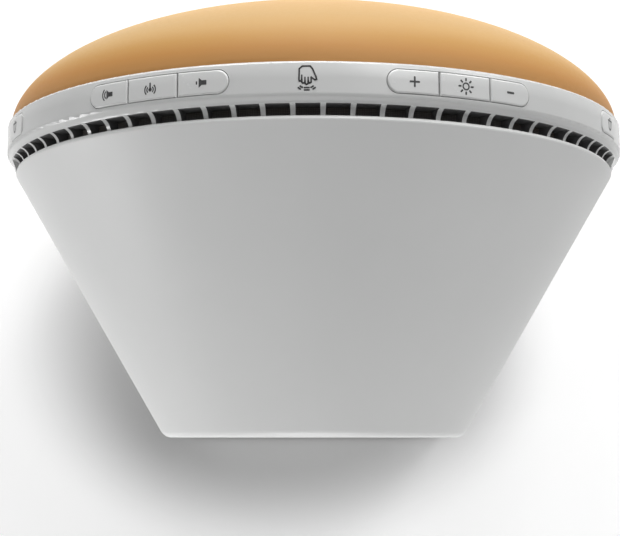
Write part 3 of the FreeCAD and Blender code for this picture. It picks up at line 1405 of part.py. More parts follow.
def make_screws(name, places, head, head_height, shank, length, recess):
    """Screws with a cross recess; each place is the underside of the head and its turn."""
    screws = []
    for index, place in enumerate(places):
        cap = document.addObject("Part::Cylinder", f"{name}_{index}_head")
        bind(cap, "Radius", head)
        bind(cap, "Height", head_height)
        cap.Placement = place.multiply(Placement(Vector(0, 0, -worth(head_height)), Rotation()))
        rod = document.addObject("Part::Cylinder", f"{name}_{index}_shank")
        bind(rod, "Radius", shank)
        bind(rod, "Height", f"{length} + 0.1")
        rod.Placement = place.multiply(Placement(Vector(0, 0, -0.1), Rotation()))
        whole = document.addObject("Part::Fuse", f"{name}_{index}_blank")
        whole.Base = cap
        whole.Tool = rod
        for arm in range(2):
            slot = document.addObject("Part::Box", f"{name}_{index}_slot_{arm}")
            bind(slot, "Length", f"1.3 * ({head})")
            bind(slot, "Width", f"0.26 * ({head})")
            bind(slot, "Height", recess)
            corner = Vector(-0.65 * worth(head), -0.13 * worth(head), -worth(head_height))
            spin = Placement(Vector(), Rotation(Vector(0, 0, 1), 90 * arm))
            slot.Placement = place.multiply(spin).multiply(Placement(corner, Rotation()))
            cut = document.addObject("Part::Cut", f"{name}_{index}_cut_{arm}")
            cut.Base = whole
            cut.Tool = slot
            whole = cut
        screws.append(whole)
    group(name, screws)


def make_all_screws():
    big = ("screw_head", "screw_head_height", "screw_radius")
    small = ("small_screw_head", "small_screw_head_height", "small_screw_radius")
    ahead = Rotation()
    upward = Rotation(Vector(1, 0, 0), -90)
    back = Rotation(Vector(1, 0, 0), 180)

    def at(across, up, depth, turn):
        return Placement(Vector(worth(across), worth(up), worth(depth)), turn)

    seat = "post_end / 2 - seat_gap"
    housing = [at(x, y, seat, ahead) for x, y in post_places()]
    make_screws("housing_screws", housing, *big, "housing_screw_length", "big_recess")
    under = f"-{BASE} + small_screw_head_height + 0.1 - seat_gap"
    base = [at(side, under, depth, upward) for side, depth in base_screw_places()]
    make_screws("base_screws", base, *small, "base_screw_length", "small_recess")
    door = [at("0", f"-{BASE} + door_wall / 2 - seat_gap", DOOR_SCREW, upward)]
    make_screws(
        "battery_door_screw", door, "small_screw_head", "door_screw_head_height", "small_screw_radius",
        "door_screw_length", "door_recess",
    )
    lugs = []
    for angle in lug_angles().values():
        reach = worth("lug_radius")
        across, up = reach * math.sin(math.radians(angle)), reach * math.cos(math.radians(angle))
        lugs.append(Placement(Vector(across, up, worth("chassis_rear - seat_gap")), ahead))
    make_screws("chassis_screws", lugs, *small, "chassis_wall + lug_length - 0.6", "small_recess")
    boards = [at(x, y, "main_board_rear - seat_gap", ahead) for x, y in board_screw_places()]
    make_screws("board_screws", boards, *small, "board_screw_length", "small_recess")
    lamp = [at(x, y, "reflector_floor + reflector_wall + seat_gap", back) for x, y in lamp_screw_places()]
    make_screws("reflector_screws", lamp, *small, "lamp_screw_length", "small_recess")
    speaker_seat = "rear_wall + gasket_wall + speaker_flange + 2 * seat_gap"
    speaker = [at(x, y, speaker_seat, back) for x, y in speaker_screw_places()]
    make_screws(
        "speaker_screws", speaker, "speaker_screw_ring - speaker_radius + 1", "small_screw_head_height",
        "small_screw_radius", "speaker_screw_length", "small_recess",
    )


def write_pieces():
    """Writes each piece to its own file once every object is sound."""
    document.recompute()
    failed = [item.Name for item in document.Objects if "Invalid" in item.State or "Error" in item.State]
    if failed:
        raise RuntimeError(f"not sound: {', '.join(failed)}")
    os.makedirs("parts", exist_ok=True)
    for name, item in pieces.items():
        shape = item.Shape
        if shape.isNull() or not shape.isValid():
            raise RuntimeError(f"{name} has no sound shape")
        shape.exportStep(f"parts/{name}.step")
        print(f"{name}: {len(shape.Solids)} solids, {shape.Volume / 1000:.2f} cm3")
    print(len(pieces), "pieces")


make_light_dome()
make_rim_ring()
make_rear_housing()
make_base_plate()
make_battery_parts()
make_inner_chassis()
make_ring_parts()
make_lamp()
make_display()
make_main_board()
for key_name, key_values in KEYS.items():
    make_key(key_name, *key_values)
make_switches()
make_speaker()
make_sockets()
make_feet()
make_all_screws()
write_pieces()
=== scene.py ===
import json
import math

import bmesh
import bpy
from mathutils import Matrix, Vector


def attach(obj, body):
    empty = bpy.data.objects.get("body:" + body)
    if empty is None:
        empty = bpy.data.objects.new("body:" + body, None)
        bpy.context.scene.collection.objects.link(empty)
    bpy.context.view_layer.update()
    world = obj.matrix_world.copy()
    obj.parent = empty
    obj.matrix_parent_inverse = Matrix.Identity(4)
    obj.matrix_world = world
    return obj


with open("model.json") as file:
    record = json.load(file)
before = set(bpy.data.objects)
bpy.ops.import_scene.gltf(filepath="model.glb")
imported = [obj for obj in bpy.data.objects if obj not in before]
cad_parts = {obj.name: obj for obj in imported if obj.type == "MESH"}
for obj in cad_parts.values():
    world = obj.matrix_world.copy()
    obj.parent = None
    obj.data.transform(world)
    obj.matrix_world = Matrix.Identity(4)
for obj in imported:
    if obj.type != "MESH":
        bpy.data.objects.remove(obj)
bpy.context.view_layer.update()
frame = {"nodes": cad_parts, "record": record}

# Sunrise alarm clock. Metres; +Z up, the glowing dome looks along -Y.

nodes = frame["nodes"]
mm = 0.001
print("frame loaded:", len(nodes), "nodes")


# small tools

def deselectAll():
    if bpy.context.object and bpy.context.object.mode != "OBJECT":
        bpy.ops.object.mode_set(mode="OBJECT")
    bpy.ops.object.select_all(action="DESELECT")


def pickEdges(piece, test):
    # selects the edges that pass the test, in edit mode
    bpy.ops.object.mode_set(mode="EDIT")
    bpy.ops.mesh.select_mode(type="EDGE")
    bpy.ops.mesh.select_all(action="DESELECT")
    shape = bmesh.from_edit_mesh(piece.data)
    for edge in shape.edges:
        if test(edge):
            edge.select_set(True)
    shape.select_flush_mode()
    bmesh.update_edit_mesh(piece.data)


def settle(piece):
    # puts the piece's place into its mesh
    deselectAll()
    piece.select_set(True)
    bpy.context.view_layer.objects.active = piece
    bpy.ops.object.transform_apply(location=True, rotation=True, scale=True)


def joined(parts, name):
    deselectAll()
    for part in parts:
        part.select_set(True)
    bpy.context.view_layer.objects.active = parts[0]
    if len(parts) > 1:
        bpy.ops.object.join()
    whole = bpy.context.object
    whole.name = name
    whole.data.name = name
    return whole


def wear(piece, finish):
    piece.data.materials.clear()
    piece.data.materials.append(finish)


def addModifier(piece, kind, **settings):
    change = piece.modifiers.new(kind.lower(), kind)
    for key, value in settings.items():
        setattr(change, key, value)
    deselectAll()
    piece.select_set(True)
    bpy.context.view_layer.objects.active = piece
    bpy.ops.object.modifier_apply(modifier=change.name)


# finishes

def startFinish(name):
    finish = bpy.data.materials.new(name)
    finish.use_nodes = True
    return finish, finish.node_tree, finish.node_tree.nodes["Principled BSDF"]


def addNode(tree, kind, **settings):
    node = tree.nodes.new("ShaderNode" + kind)
    for key, value in settings.items():
        if hasattr(node, key):
            setattr(node, key, value)
        else:
            node.inputs[key].default_value = value
    return node


def addGrain(tree, scale, detail=3.0, stretch=(1, 1, 1)):
    place = addNode(tree, "TexCoord")
    turn = addNode(tree, "Mapping")
    turn.inputs["Scale"].default_value = stretch
    grain = addNode(tree, "TexNoise", Scale=scale, Detail=detail)
    tree.links.new(place.outputs["Object"], turn.inputs["Vector"])
    tree.links.new(turn.outputs["Vector"], grain.inputs["Vector"])
    return grain.outputs["Fac"]


def addRamp(tree, source, stops):
    ramp = addNode(tree, "ValToRGB")
    shades = ramp.color_ramp.elements
    while len(shades) < len(stops):
        shades.new(0.5)
    for shade, (at, colour) in zip(shades, stops):
        shade.position = at
        shade.color = (*colour, 1)
    tree.links.new(source, ramp.inputs["Fac"])
    return ramp.outputs["Color"]


def addRange(tree, source, low, high, fromLow=0.3, fromHigh=0.7):
    span = addNode(tree, "MapRange")
    span.inputs["From Min"].default_value = fromLow
    span.inputs["From Max"].default_value = fromHigh
    span.inputs["To Min"].default_value = low
    span.inputs["To Max"].default_value = high
    tree.links.new(source, span.inputs["Value"])
    return span.outputs["Result"]


def addBump(tree, shader, source, strength, depth):
    bump = addNode(tree, "Bump")
    bump.inputs["Strength"].default_value = strength
    bump.inputs["Distance"].default_value = depth
    tree.links.new(source, bump.inputs["Height"])
    tree.links.new(bump.outputs["Normal"], shader.inputs["Normal"])


grainLook = {"glossFineness": 2.3, "detail": 4.0, "coatRough": 0.1, "ior": 1.5}


def mouldedFinish(name, look):
    # moulded plastic, resin, paper and metal: a cloudy tone, an uneven gloss and a fine skin
    finish, tree, shader = startFinish(name)
    stretch = look.get("stretch", (1, 1, 1))
    cloud = addGrain(tree, look["cloud"], stretch=stretch)
    tone = addRamp(tree, cloud, [(0.3, look["dark"]), (0.7, look["light"])])
    tree.links.new(tone, shader.inputs["Base Color"])
    gloss = addGrain(tree, look["cloud"] * grainLook["glossFineness"], grainLook["detail"], stretch)
    tree.links.new(addRange(tree, gloss, *look["rough"]), shader.inputs["Roughness"])
    skin = addGrain(tree, look["skin"], grainLook["detail"], stretch)
    addBump(tree, shader, skin, look["bump"], look["depth"])
    shader.inputs["Metallic"].default_value = look.get("metal", 0.0)
    shader.inputs["Coat Weight"].default_value = look.get("coat", 0.0)
    shader.inputs["Coat Roughness"].default_value = grainLook["coatRough"]
    shader.inputs["IOR"].default_value = grainLook["ior"]
    return finish


plasticLooks = {
    "white_shell": {
        "dark": (0.77, 0.775, 0.77), "light": (0.79, 0.795, 0.79), "cloud": 30, "rough": (0.42, 0.48),
        "skin": 1400, "bump": 0.06, "depth": 0.02 * mm,
    },
    # the rim is the same white plastic as white_shell; its darker tone here is painted shade
    "rim_shell_with_painted_shade": {
        "dark": (0.63, 0.635, 0.63), "light": (0.65, 0.655, 0.65), "cloud": 45, "rough": (0.20, 0.26),
        "skin": 1400, "bump": 0.05, "depth": 0.02 * mm,
    },
    # the keys are the same white plastic as white_shell; their darker tone is painted shade
    "key_plastic": {
        "dark": (0.66, 0.665, 0.66), "light": (0.68, 0.685, 0.68), "cloud": 80, "rough": (0.22, 0.28),
        "skin": 2200, "bump": 0.05, "depth": 0.02 * mm,
    },
    "black_plastic": {
        "dark": (0.018, 0.018, 0.019), "light": (0.03, 0.03, 0.031), "cloud": 60, "rough": (0.45, 0.6),
        "skin": 2600, "bump": 0.25, "depth": 0.05 * mm,
    },
    "rubber": {
        "dark": (0.025, 0.025, 0.026), "light": (0.045, 0.045, 0.045), "cloud": 150, "rough": (0.7, 0.85),
        "skin": 1800, "bump": 0.3, "depth": 0.06 * mm,
    },
    "white_board": {
        "dark": (0.74, 0.74, 0.71), "light": (0.8, 0.8, 0.77), "cloud": 120, "rough": (0.35, 0.45),
        "skin": 2400, "bump": 0.12, "depth": 0.03 * mm,
    },
    "white_reflector": {
        "dark": (0.82, 0.82, 0.8), "light": (0.87, 0.87, 0.85), "cloud": 40, "rough": (0.5, 0.62),
        "skin": 1500, "bump": 0.12, "depth": 0.04 * mm,
    },
    "lamp_resin": {
        "dark": (0.85, 0.62, 0.12), "light": (0.92, 0.72, 0.2), "cloud": 900, "rough": (0.25, 0.35),
        "skin": 4000, "bump": 0.1, "depth": 0.02 * mm,
    },
    "display_glass": {
        "dark": (0.01, 0.01, 0.011), "light": (0.016, 0.015, 0.015), "cloud": 50, "rough": (0.08, 0.14),
        "skin": 900, "bump": 0.04, "depth": 0.01 * mm, "coat": 0.5,
    },
    "ribbon_film": {
        "dark": (0.42, 0.2, 0.05), "light": (0.55, 0.28, 0.08), "cloud": 700, "rough": (0.3, 0.42),
        "skin": 1600, "bump": 0.15, "depth": 0.03 * mm, "stretch": (6, 1, 1),
    },
    "chip_resin": {
        "dark": (0.03, 0.03, 0.032), "light": (0.055, 0.055, 0.055), "cloud": 500, "rough": (0.55, 0.7),
        "skin": 3500, "bump": 0.3, "depth": 0.04 * mm,
    },
    "connector_plastic": {
        "dark": (0.62, 0.56, 0.44), "light": (0.7, 0.64, 0.52), "cloud": 250, "rough": (0.4, 0.5),
        "skin": 2400, "bump": 0.15, "depth": 0.03 * mm,
    },
    "paper_cone": {
        "dark": (0.035, 0.035, 0.036), "light": (0.075, 0.073, 0.07), "cloud": 900, "rough": (0.8, 0.95),
        "skin": 3000, "bump": 0.6, "depth": 0.1 * mm,
    },
    "steel": {
        "dark": (0.5, 0.5, 0.5), "light": (0.62, 0.62, 0.63), "cloud": 300, "rough": (0.25, 0.4),
        "skin": 2600, "bump": 0.2, "depth": 0.02 * mm, "metal": 1.0, "stretch": (1, 1, 9),
    },
    "painted_steel": {
        "dark": (0.05, 0.05, 0.052), "light": (0.08, 0.08, 0.08), "cloud": 90, "rough": (0.35, 0.48),
        "skin": 1700, "bump": 0.25, "depth": 0.05 * mm,
    },
    "brass": {
        "dark": (0.62, 0.42, 0.16), "light": (0.74, 0.54, 0.26), "cloud": 400, "rough": (0.2, 0.3),
        "skin": 2500, "bump": 0.1, "depth": 0.02 * mm, "metal": 1.0,
    },
    "copper_foil": {
        "dark": (0.6, 0.28, 0.14), "light": (0.75, 0.4, 0.24), "cloud": 500, "rough": (0.25, 0.38),
        "skin": 2000, "bump": 0.15, "depth": 0.02 * mm, "metal": 1.0,
    },
    "capacitor_can": {
        "dark": (0.05, 0.055, 0.12), "light": (0.08, 0.085, 0.17), "cloud": 300, "rough": (0.28, 0.4),
        "skin": 1800, "bump": 0.1, "depth": 0.02 * mm,
    },
    "icon_ink": {
        "dark": (0.018, 0.018, 0.019), "light": (0.03, 0.03, 0.031), "cloud": 900, "rough": (0.4, 0.5),
        "skin": 5000, "bump": 0.1, "depth": 0.01 * mm,
    },
}
finishes = {name: mouldedFinish(name + "_finish", look) for name, look in plasticLooks.items()}

rimShape = {
    # radii from the rim's axis, and places along Y; the crown's radius is in millimetres
    "axisHeight": 88.0 * mm, "crownStart": -24.4 * mm, "crownRadius": 17.0,
    "coveRadius": 94.2 * mm, "coveMiddle": -15.1 * mm, "coveRound": 3.43 * mm,
    # the vent entries bound the painted shade on the vent walls and give its grey
    "ventRadius": 93.95 * mm, "ventTop": -18.45 * mm, "ventPaintedShade": (0.16, 0.16, 0.161),
}


def addMath(tree, operation, *values):
    node = addNode(tree, "Math", operation=operation)
    for slot, value in enumerate(values):
        if isinstance(value, (int, float)):
            node.inputs[slot].default_value = value
        else:
            tree.links.new(value, node.inputs[slot])
    return node.outputs[0]


def addPlaces(tree):
    place = addNode(tree, "TexCoord")
    parts = addNode(tree, "SeparateXYZ")
    tree.links.new(place.outputs["Object"], parts.inputs["Vector"])
    return parts.outputs


def addLength(tree, first, second):
    squares = [addMath(tree, "MULTIPLY", side, side) for side in (first, second)]
    return addMath(tree, "SQRT", addMath(tree, "ADD", *squares))


def addCrown(finish):
    # shades the band as if it fell off a little towards the seam, on a circle
    tree = finish.node_tree
    shader = tree.nodes["Principled BSDF"]
    fromStart = addMath(tree, "SUBTRACT", addPlaces(tree)["Y"], rimShape["crownStart"])
    across = addMath(tree, "MINIMUM", fromStart, 0.0)
    slope = addMath(tree, "MULTIPLY", across, -0.5 / mm / rimShape["crownRadius"])
    sag = addMath(tree, "MULTIPLY", addMath(tree, "MULTIPLY", across, 1 / mm), slope)
    crown = addNode(tree, "Bump")
    crown.inputs["Strength"].default_value = 1.0
    crown.inputs["Distance"].default_value = mm
    tree.links.new(sag, crown.inputs["Height"])
    skin = shader.inputs["Normal"].links[0].from_node
    tree.links.new(crown.outputs["Normal"], skin.inputs["Normal"])


def paintVentShade(finish):
    # paints shade on the walls of the vents, behind the round of the cove: the white plastic there gets a dark
    # grey as painted shade
    tree = finish.node_tree
    shader = tree.nodes["Principled BSDF"]
    places = addPlaces(tree)
    height = addMath(tree, "SUBTRACT", places["Z"], rimShape["axisHeight"])
    radius = addLength(tree, places["X"], height)
    inward = addMath(tree, "SUBTRACT", radius, rimShape["coveRadius"])
    forward = addMath(tree, "SUBTRACT", places["Y"], rimShape["coveMiddle"])
    reach = addLength(tree, inward, forward)
    behind = addMath(tree, "GREATER_THAN", reach, rimShape["coveRound"])
    below = addMath(tree, "GREATER_THAN", places["Y"], rimShape["ventTop"])
    inside = addMath(tree, "LESS_THAN", radius, rimShape["ventRadius"])
    share = addMath(tree, "MULTIPLY", addMath(tree, "MULTIPLY", behind, below), inside)
    ventShadeBlend = addNode(tree, "Mix", data_type="RGBA")
    # a mix of colours takes them at sockets 6 and 7 and gives one at socket 2
    tree.links.new(share, ventShadeBlend.inputs["Factor"])
    tree.links.new(shader.inputs["Base Color"].links[0].from_socket, ventShadeBlend.inputs[6])
    ventShadeBlend.inputs[7].default_value = (*rimShape["ventPaintedShade"], 1)
    tree.links.new(ventShadeBlend.outputs[2], shader.inputs["Base Color"])


addCrown(finishes["rim_shell_with_painted_shade"])
addCrown(finishes["key_plastic"])
paintVentShade(finishes["rim_shell_with_painted_shade"])


boardLook = {
    "tracks": 180.0, "gap": 0.06, "rough": (0.25, 0.4), "grain": 600, "bump": 0.3, "depth": 0.03 * mm,
    "tones": {
        "Color1": (0.012, 0.09, 0.035, 1), "Color2": (0.015, 0.12, 0.045, 1), "Mortar": (0.03, 0.2, 0.08, 1),
    },
}


def boardFinish(name, look):
    # green solder resist with copper tracks under it
    finish, tree, shader = startFinish(name)
    place = addNode(tree, "TexCoord")
    turn = addNode(tree, "Mapping")
    turn.inputs["Rotation"].default_value = (math.pi / 2, 0, 0)
    tracks = addNode(tree, "TexBrick", Scale=look["tracks"])
    for socket, tone in look["tones"].items():
        tracks.inputs[socket].default_value = tone
    tracks.inputs["Mortar Size"].default_value = look["gap"]
    tree.links.new(place.outputs["Object"], turn.inputs["Vector"])
    tree.links.new(turn.outputs["Vector"], tracks.inputs["Vector"])
    tree.links.new(tracks.outputs["Color"], shader.inputs["Base Color"])
    tree.links.new(addRange(tree, addGrain(tree, look["grain"]), *look["rough"]), shader.inputs["Roughness"])
    addBump(tree, shader, tracks.outputs["Fac"], look["bump"], look["depth"])
    return finish


meshLook = {
    "threads": 700.0, "grain": 300, "rough": (0.7, 0.85), "bump": 0.5, "depth": 0.1 * mm,
    # these greys are painted light on a mesh that is black
    "shades": [(0.0, (0.14, 0.14, 0.14)), (1.0, (0.28, 0.279, 0.276))],
}


def meshFinish(name, look):
    # a fine weave; its black is toned up to grey as painted light in the shade of the vents
    finish, tree, shader = startFinish(name)
    place = addNode(tree, "TexCoord")
    waves = []
    for way in ("X", "Y"):
        wave = addNode(tree, "TexWave", bands_direction=way, Scale=look["threads"])
        tree.links.new(place.outputs["Object"], wave.inputs["Vector"])
        waves.append(wave.outputs["Fac"])
    weave = addMath(tree, "MULTIPLY", *waves)
    tree.links.new(addRamp(tree, weave, look["shades"]), shader.inputs["Base Color"])
    tree.links.new(addRange(tree, addGrain(tree, look["grain"]), *look["rough"]), shader.inputs["Roughness"])
    addBump(tree, shader, weave, look["bump"], look["depth"])
    return finish


domeLook = {
    # stops go from the seam, 0, to the front, 1
    "seamDepth": -28.9 * mm, "topDepth": -64.8 * mm, "cloud": 22, "cloudDetail": 2.0, "uneven": 0.02,
    # the dark first stops of skin and glow, at the seam, are painted shade; the pale glow stops towards the front
    # are partly a painted highlight
    "skin": [(0.0, (0.28, 0.14, 0.045)), (0.025, (0.325, 0.168, 0.052)), (1.0, (0.35, 0.19, 0.065))],
    "glow": [
        (0.0, (0.11, 0.055, 0.02)), (0.03, (0.14, 0.07, 0.03)), (0.12, (0.156, 0.066, 0.018)),
        (0.22, (0.173, 0.103, 0.03)), (0.33, (0.218, 0.170, 0.08)), (0.45, (0.225, 0.20, 0.11)),
        (1.0, (0.36, 0.28, 0.15)),
    ],
    "strength": 1.0, "specular": 0.14, "glossGrain": 900, "rough": (0.5, 0.58),
    "frost": 2200, "bump": 0.06, "depth": 0.02 * mm,
}


def domeFinish(name, look):
    # frosted shell lit from inside: it glows more towards the front than at its seam; the darker band at the seam
    # is painted shade, and the paler glow towards the front is partly a painted highlight
    finish, tree, shader = startFinish(name)
    along = addPlaces(tree)["Y"]
    depth = addRange(tree, along, 0.0, 1.0, look["seamDepth"], look["topDepth"])
    cloud = addRange(tree, addGrain(tree, look["cloud"], look["cloudDetail"]), -look["uneven"], look["uneven"])
    uneven = addMath(tree, "ADD", depth, cloud)
    tree.links.new(addRamp(tree, uneven, look["skin"]), shader.inputs["Base Color"])
    tree.links.new(addRamp(tree, uneven, look["glow"]), shader.inputs["Emission Color"])
    shader.inputs["Emission Strength"].default_value = look["strength"]
    shader.inputs["Specular IOR Level"].default_value = look["specular"]
    tree.links.new(addRange(tree, addGrain(tree, look["glossGrain"]), *look["rough"]), shader.inputs["Roughness"])
    addBump(tree, shader, addGrain(tree, look["frost"], grainLook["detail"]), look["bump"], look["depth"])
    return finish


finishes["green_board"] = boardFinish("green_board_finish", boardLook)
finishes["mesh_fabric"] = meshFinish("mesh_fabric_finish", meshLook)
finishes["frosted_dome"] = domeFinish("frosted_dome_finish", domeLook)

slots = {entry["node"]: entry["material_slot"] for entry in frame["record"]["subparts"]}
for name, node in nodes.items():
    wear(node, finishes["rim_shell_with_painted_shade" if name == "rim_ring" else slots[name]])
print("finishes on", len(nodes), "nodes")


# signs on the keys and the rim, drawn upright for a person at the front

signLook = {
    # millimetres and degrees
    "height": 0.1, "rounding": 0.42, "corners": 4, "arcStep": 9, "fewestSteps": 6, "weld": 0.002,
}


def pickUprights(piece, height):
    pickEdges(piece, lambda edge: abs(edge.verts[0].co.z - edge.verts[1].co.z) > height * mm / 2)


def addStroke(start, end, width, height=signLook["height"], rounding=signLook["rounding"]):
    # a bar with round ends
    start, end = Vector((*start, 0)) * mm, Vector((*end, 0)) * mm
    run = end - start
    middle = (start + end) / 2
    bpy.ops.mesh.primitive_cube_add(size=1, location=middle, rotation=(0, 0, math.atan2(run.y, run.x)))
    bar = bpy.context.object
    bar.scale = (run.length + width * mm, width * mm, height * mm)
    settle(bar)
    pickUprights(bar, height)
    bpy.ops.mesh.bevel(offset=width * rounding * mm, segments=signLook["corners"], affect="EDGES")
    bpy.ops.object.mode_set(mode="OBJECT")
    return bar


def addArc(middle, radius, width, start, end):
    # a curved stroke: a bar spun about the arc's middle, angles in degrees from +x
    span = end - start
    spot = Vector((middle[0], middle[1], 0)) * mm
    bpy.ops.mesh.primitive_plane_add(size=1, location=spot + Vector((radius * mm, 0, 0)))
    strip = bpy.context.object
    strip.scale = (width * mm, signLook["height"] * mm, 1)
    strip.rotation_euler = (math.pi / 2, 0, 0)
    settle(strip)
    bpy.ops.object.mode_set(mode="EDIT")
    bpy.ops.mesh.select_all(action="SELECT")
    steps = max(signLook["fewestSteps"], int(span / signLook["arcStep"]))
    bpy.ops.mesh.spin(steps=steps, angle=math.radians(span), center=spot, axis=(0, 0, 1))
    if span >= 360:
        bpy.ops.mesh.select_all(action="SELECT")
        bpy.ops.mesh.remove_doubles(threshold=signLook["weld"] * mm)
    bpy.ops.mesh.select_all(action="SELECT")
    bpy.ops.mesh.normals_make_consistent(inside=False)
    bpy.ops.object.mode_set(mode="OBJECT")
    turn = Matrix.Rotation(math.radians(end), 4, "Z")
    strip.matrix_world = Matrix.Translation(spot) @ turn @ Matrix.Translation(-spot)
    settle(strip)
    return strip


speakerLook = {
    "box": 1.2, "boxRounding": 0.08, "flareRadius": 1.5, "flareSpot": -0.1, "flareWidth": 0.68, "flareRound": 0.12,
    "wave": 0.32, "reaches": (1.25, 1.95), "opening": 48, "dash": 0.38,
}


def speakerSign(waves):
    # a box, its flare and, for louder, two waves
    look = speakerLook
    parts = [addStroke((-1.1, 0), (-1.05, 0), look["box"], rounding=look["boxRounding"])]
    bpy.ops.mesh.primitive_cylinder_add(
        vertices=3, radius=look["flareRadius"] * mm, depth=signLook["height"] * mm,
        location=(look["flareSpot"] * mm, 0, 0),
    )
    flare = bpy.context.object
    flare.rotation_euler = (0, 0, math.pi / 2)
    flare.scale = (1, look["flareWidth"], 1)
    settle(flare)
    pickUprights(flare, signLook["height"])
    bpy.ops.mesh.bevel(offset=look["flareRound"] * mm, segments=3, affect="EDGES")
    bpy.ops.object.mode_set(mode="OBJECT")
    parts.append(flare)
    if waves:
        opening = look["opening"]
        parts += [addArc((-0.2, 0), reach, look["wave"], -opening, opening) for reach in look["reaches"]]
    else:
        parts.append(addStroke((1.0, -0.25), (1.0, 0.25), look["dash"]))
    return parts


broadcastLook = {
    "middle": (0, 0.45), "mast": 0.42, "dotRadius": 0.3, "dot": 0.4, "wave": 0.34, "reaches": (0.95, 1.6),
}


def broadcastSign():
    # a mast that sends waves to both sides
    look = broadcastLook
    parts = [addStroke((0, -1.2), (0, 0.3), look["mast"])]
    parts.append(addArc(look["middle"], look["dotRadius"], look["dot"], 0, 360))
    for reach in look["reaches"]:
        for start, end in ((-46, 46), (134, 226)):
            parts.append(addArc(look["middle"], reach, look["wave"], start, end))
    return parts


def plusSign():
    return [addStroke((-1.15, 0), (1.15, 0), 0.5), addStroke((0, -1.15), (0, 1.15), 0.5)]


def minusSign():
    return [addStroke((-0.9, 0), (0.9, 0), 0.6)]


sunLook = {"radius": 0.86, "disc": 0.4, "rays": 8, "rayStart": 1.55, "rayEnd": 2.0, "ray": 0.46}


def sunSign():
    look = sunLook
    parts = [addArc((0, 0), look["radius"], look["disc"], 0, 360)]
    for step in range(look["rays"]):
        turn = step * 2 * math.pi / look["rays"]
        way = Vector((math.cos(turn), math.sin(turn)))
        parts.append(addStroke(way * look["rayStart"], way * look["rayEnd"], look["ray"]))
    return parts


bellLook = {"line": 0.46, "radius": 1.0, "clapperRadius": 0.3, "clapper": 0.4}


def bellSign():
    look = bellLook
    parts = [addArc((0, 0.5), look["radius"], look["line"], 0, 180)]
    parts += [addStroke((side * 1.0, 0.5), (side * 1.2, -0.95), look["line"]) for side in (-1, 1)]
    parts.append(addStroke((-1.6, -1.1), (1.6, -1.1), look["line"]))
    parts.append(addArc((0, -1.5), look["clapperRadius"], look["clapper"], 180, 360))
    return parts


handLook = {
    "line": 0.42, "crease": 0.38, "creaseLength": 0.75, "tapMiddle": (-0.1, 0.2), "frontTap": 0.55, "sideTap": 0.3,
    "outline": [
        (-1.55, -2.05), (-0.95, -2.75), (1.0, -2.75), (1.75, -2.1), (1.85, 0.55), (1.75, 1.05),
        (1.25, 1.05), (1.15, 0.35), (1.1, 1.35), (0.85, 1.6), (0.45, 1.55), (0.35, 0.9),
        (0.25, 1.75), (-0.05, 1.95), (-0.4, 1.75), (-0.45, 0.9), (-0.6, 1.45), (-0.85, 1.6),
        (-1.2, 1.4), (-1.2, 0.1), (-2.1, 0.75), (-2.6, 0.6), (-2.45, 0.05), (-1.55, -2.05),
    ],
    "creases": [(1.15, 0.35), (0.35, 0.9), (-0.45, 0.9)],
    # angle from straight ahead, and reach
    "taps": [(0, 2.55), (0, 3.15), (30, 2.7), (-30, 2.7), (34, 3.3), (-34, 3.3)],
}


def handSign():
    # an open hand in outline, thumb to the left, with tap marks above the fingertips
    look = handLook
    parts = [addStroke(start, end, look["line"]) for start, end in zip(look["outline"], look["outline"][1:])]
    for across, low in look["creases"]:
        parts.append(addStroke((across, low), (across, low - look["creaseLength"]), look["crease"]))
    for angle, reach in look["taps"]:
        turn = math.radians(90 + angle)
        spot = Vector((math.cos(turn), math.sin(turn))) * reach + Vector(look["tapMiddle"])
        half = look["frontTap"] if angle == 0 else look["sideTap"]
        along = Vector((-math.sin(turn), math.cos(turn))) * half
        parts.append(addStroke(spot - along, spot + along, look["line"]))
    return parts


rimLook = {
    # millimetres; an angle in degrees from the top
    "axisHeight": 88.0, "keyRadius": 95.35, "rimRadius": 95.0, "keyDepth": -24.15,
    "handDepth": -24.6, "handAngle": 0.2, "lift": -0.02,
}


def layOnRim(piece, angle, radius, depth):
    # stands the sign on the rim at an angle from the top, positive towards +X
    turn = math.radians(angle)
    lift = (radius + rimLook["lift"]) * mm
    outward = Vector((math.sin(turn), 0, math.cos(turn)))
    along = Vector((math.cos(turn), 0, -math.sin(turn)))
    piece.matrix_world = Matrix((
        (along.x, 0, outward.x, outward.x * lift),
        (0, 1, 0, depth * mm),
        (along.z, 0, outward.z, outward.z * lift + rimLook["axisHeight"] * mm),
        (0, 0, 0, 1),
    ))
    settle(piece)


signs = {
    # key: its sign, angle from the top, body
    "volume_down": (lambda: speakerSign(False), 16.6, "volume_down_key"),
    "radio": (broadcastSign, 25.2, "radio_key"),
    "volume_up": (lambda: speakerSign(True), 33.5, "volume_up_key"),
    "light_up": (plusSign, -16.4, "light_up_key"),
    "light": (sunSign, -25.0, "light_key"),
    "light_down": (minusSign, -33.4, "light_down_key"),
    "alarm_one": (bellSign, 63.9, "alarm_one_key"),
    "alarm_two": (bellSign, -63.9, "alarm_two_key"),
}
for name, (draw, angle, body) in signs.items():
    sign = joined(draw(), name + "_sign")
    layOnRim(sign, angle, rimLook["keyRadius"], rimLook["keyDepth"])
    wear(sign, finishes["icon_ink"])
    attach(sign, body)

hand = joined(handSign(), "snooze_hand_sign")
layOnRim(hand, rimLook["handAngle"], rimLook["rimRadius"], rimLook["handDepth"])
wear(hand, finishes["icon_ink"])
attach(hand, "case")
print("signs laid on the keys and the rim")


# the time, which shines through the dome

timeLook = {
    # millimetres; each digit with its place across the dome
    "digits": [("7", -17.0), ("0", 5.5), ("0", 20.0)], "width": 9.0, "height": 18.0, "stroke": 2.0,
    "thick": 0.2, "gap": 0.35, "colon": -5.0, "dots": (-3.6, 3.6), "dotHalf": 0.01, "cuts": 4, "proud": 0.04,
    "start": (0, -0.0655, 0.088), "shine": 0.6, "rough": (0.34, 0.42),
    "tones": [(0.3, (0.95, 0.82, 0.62)), (0.7, (1.0, 0.9, 0.74))],
}
litBars = {"0": "abcdef", "7": "abc"}


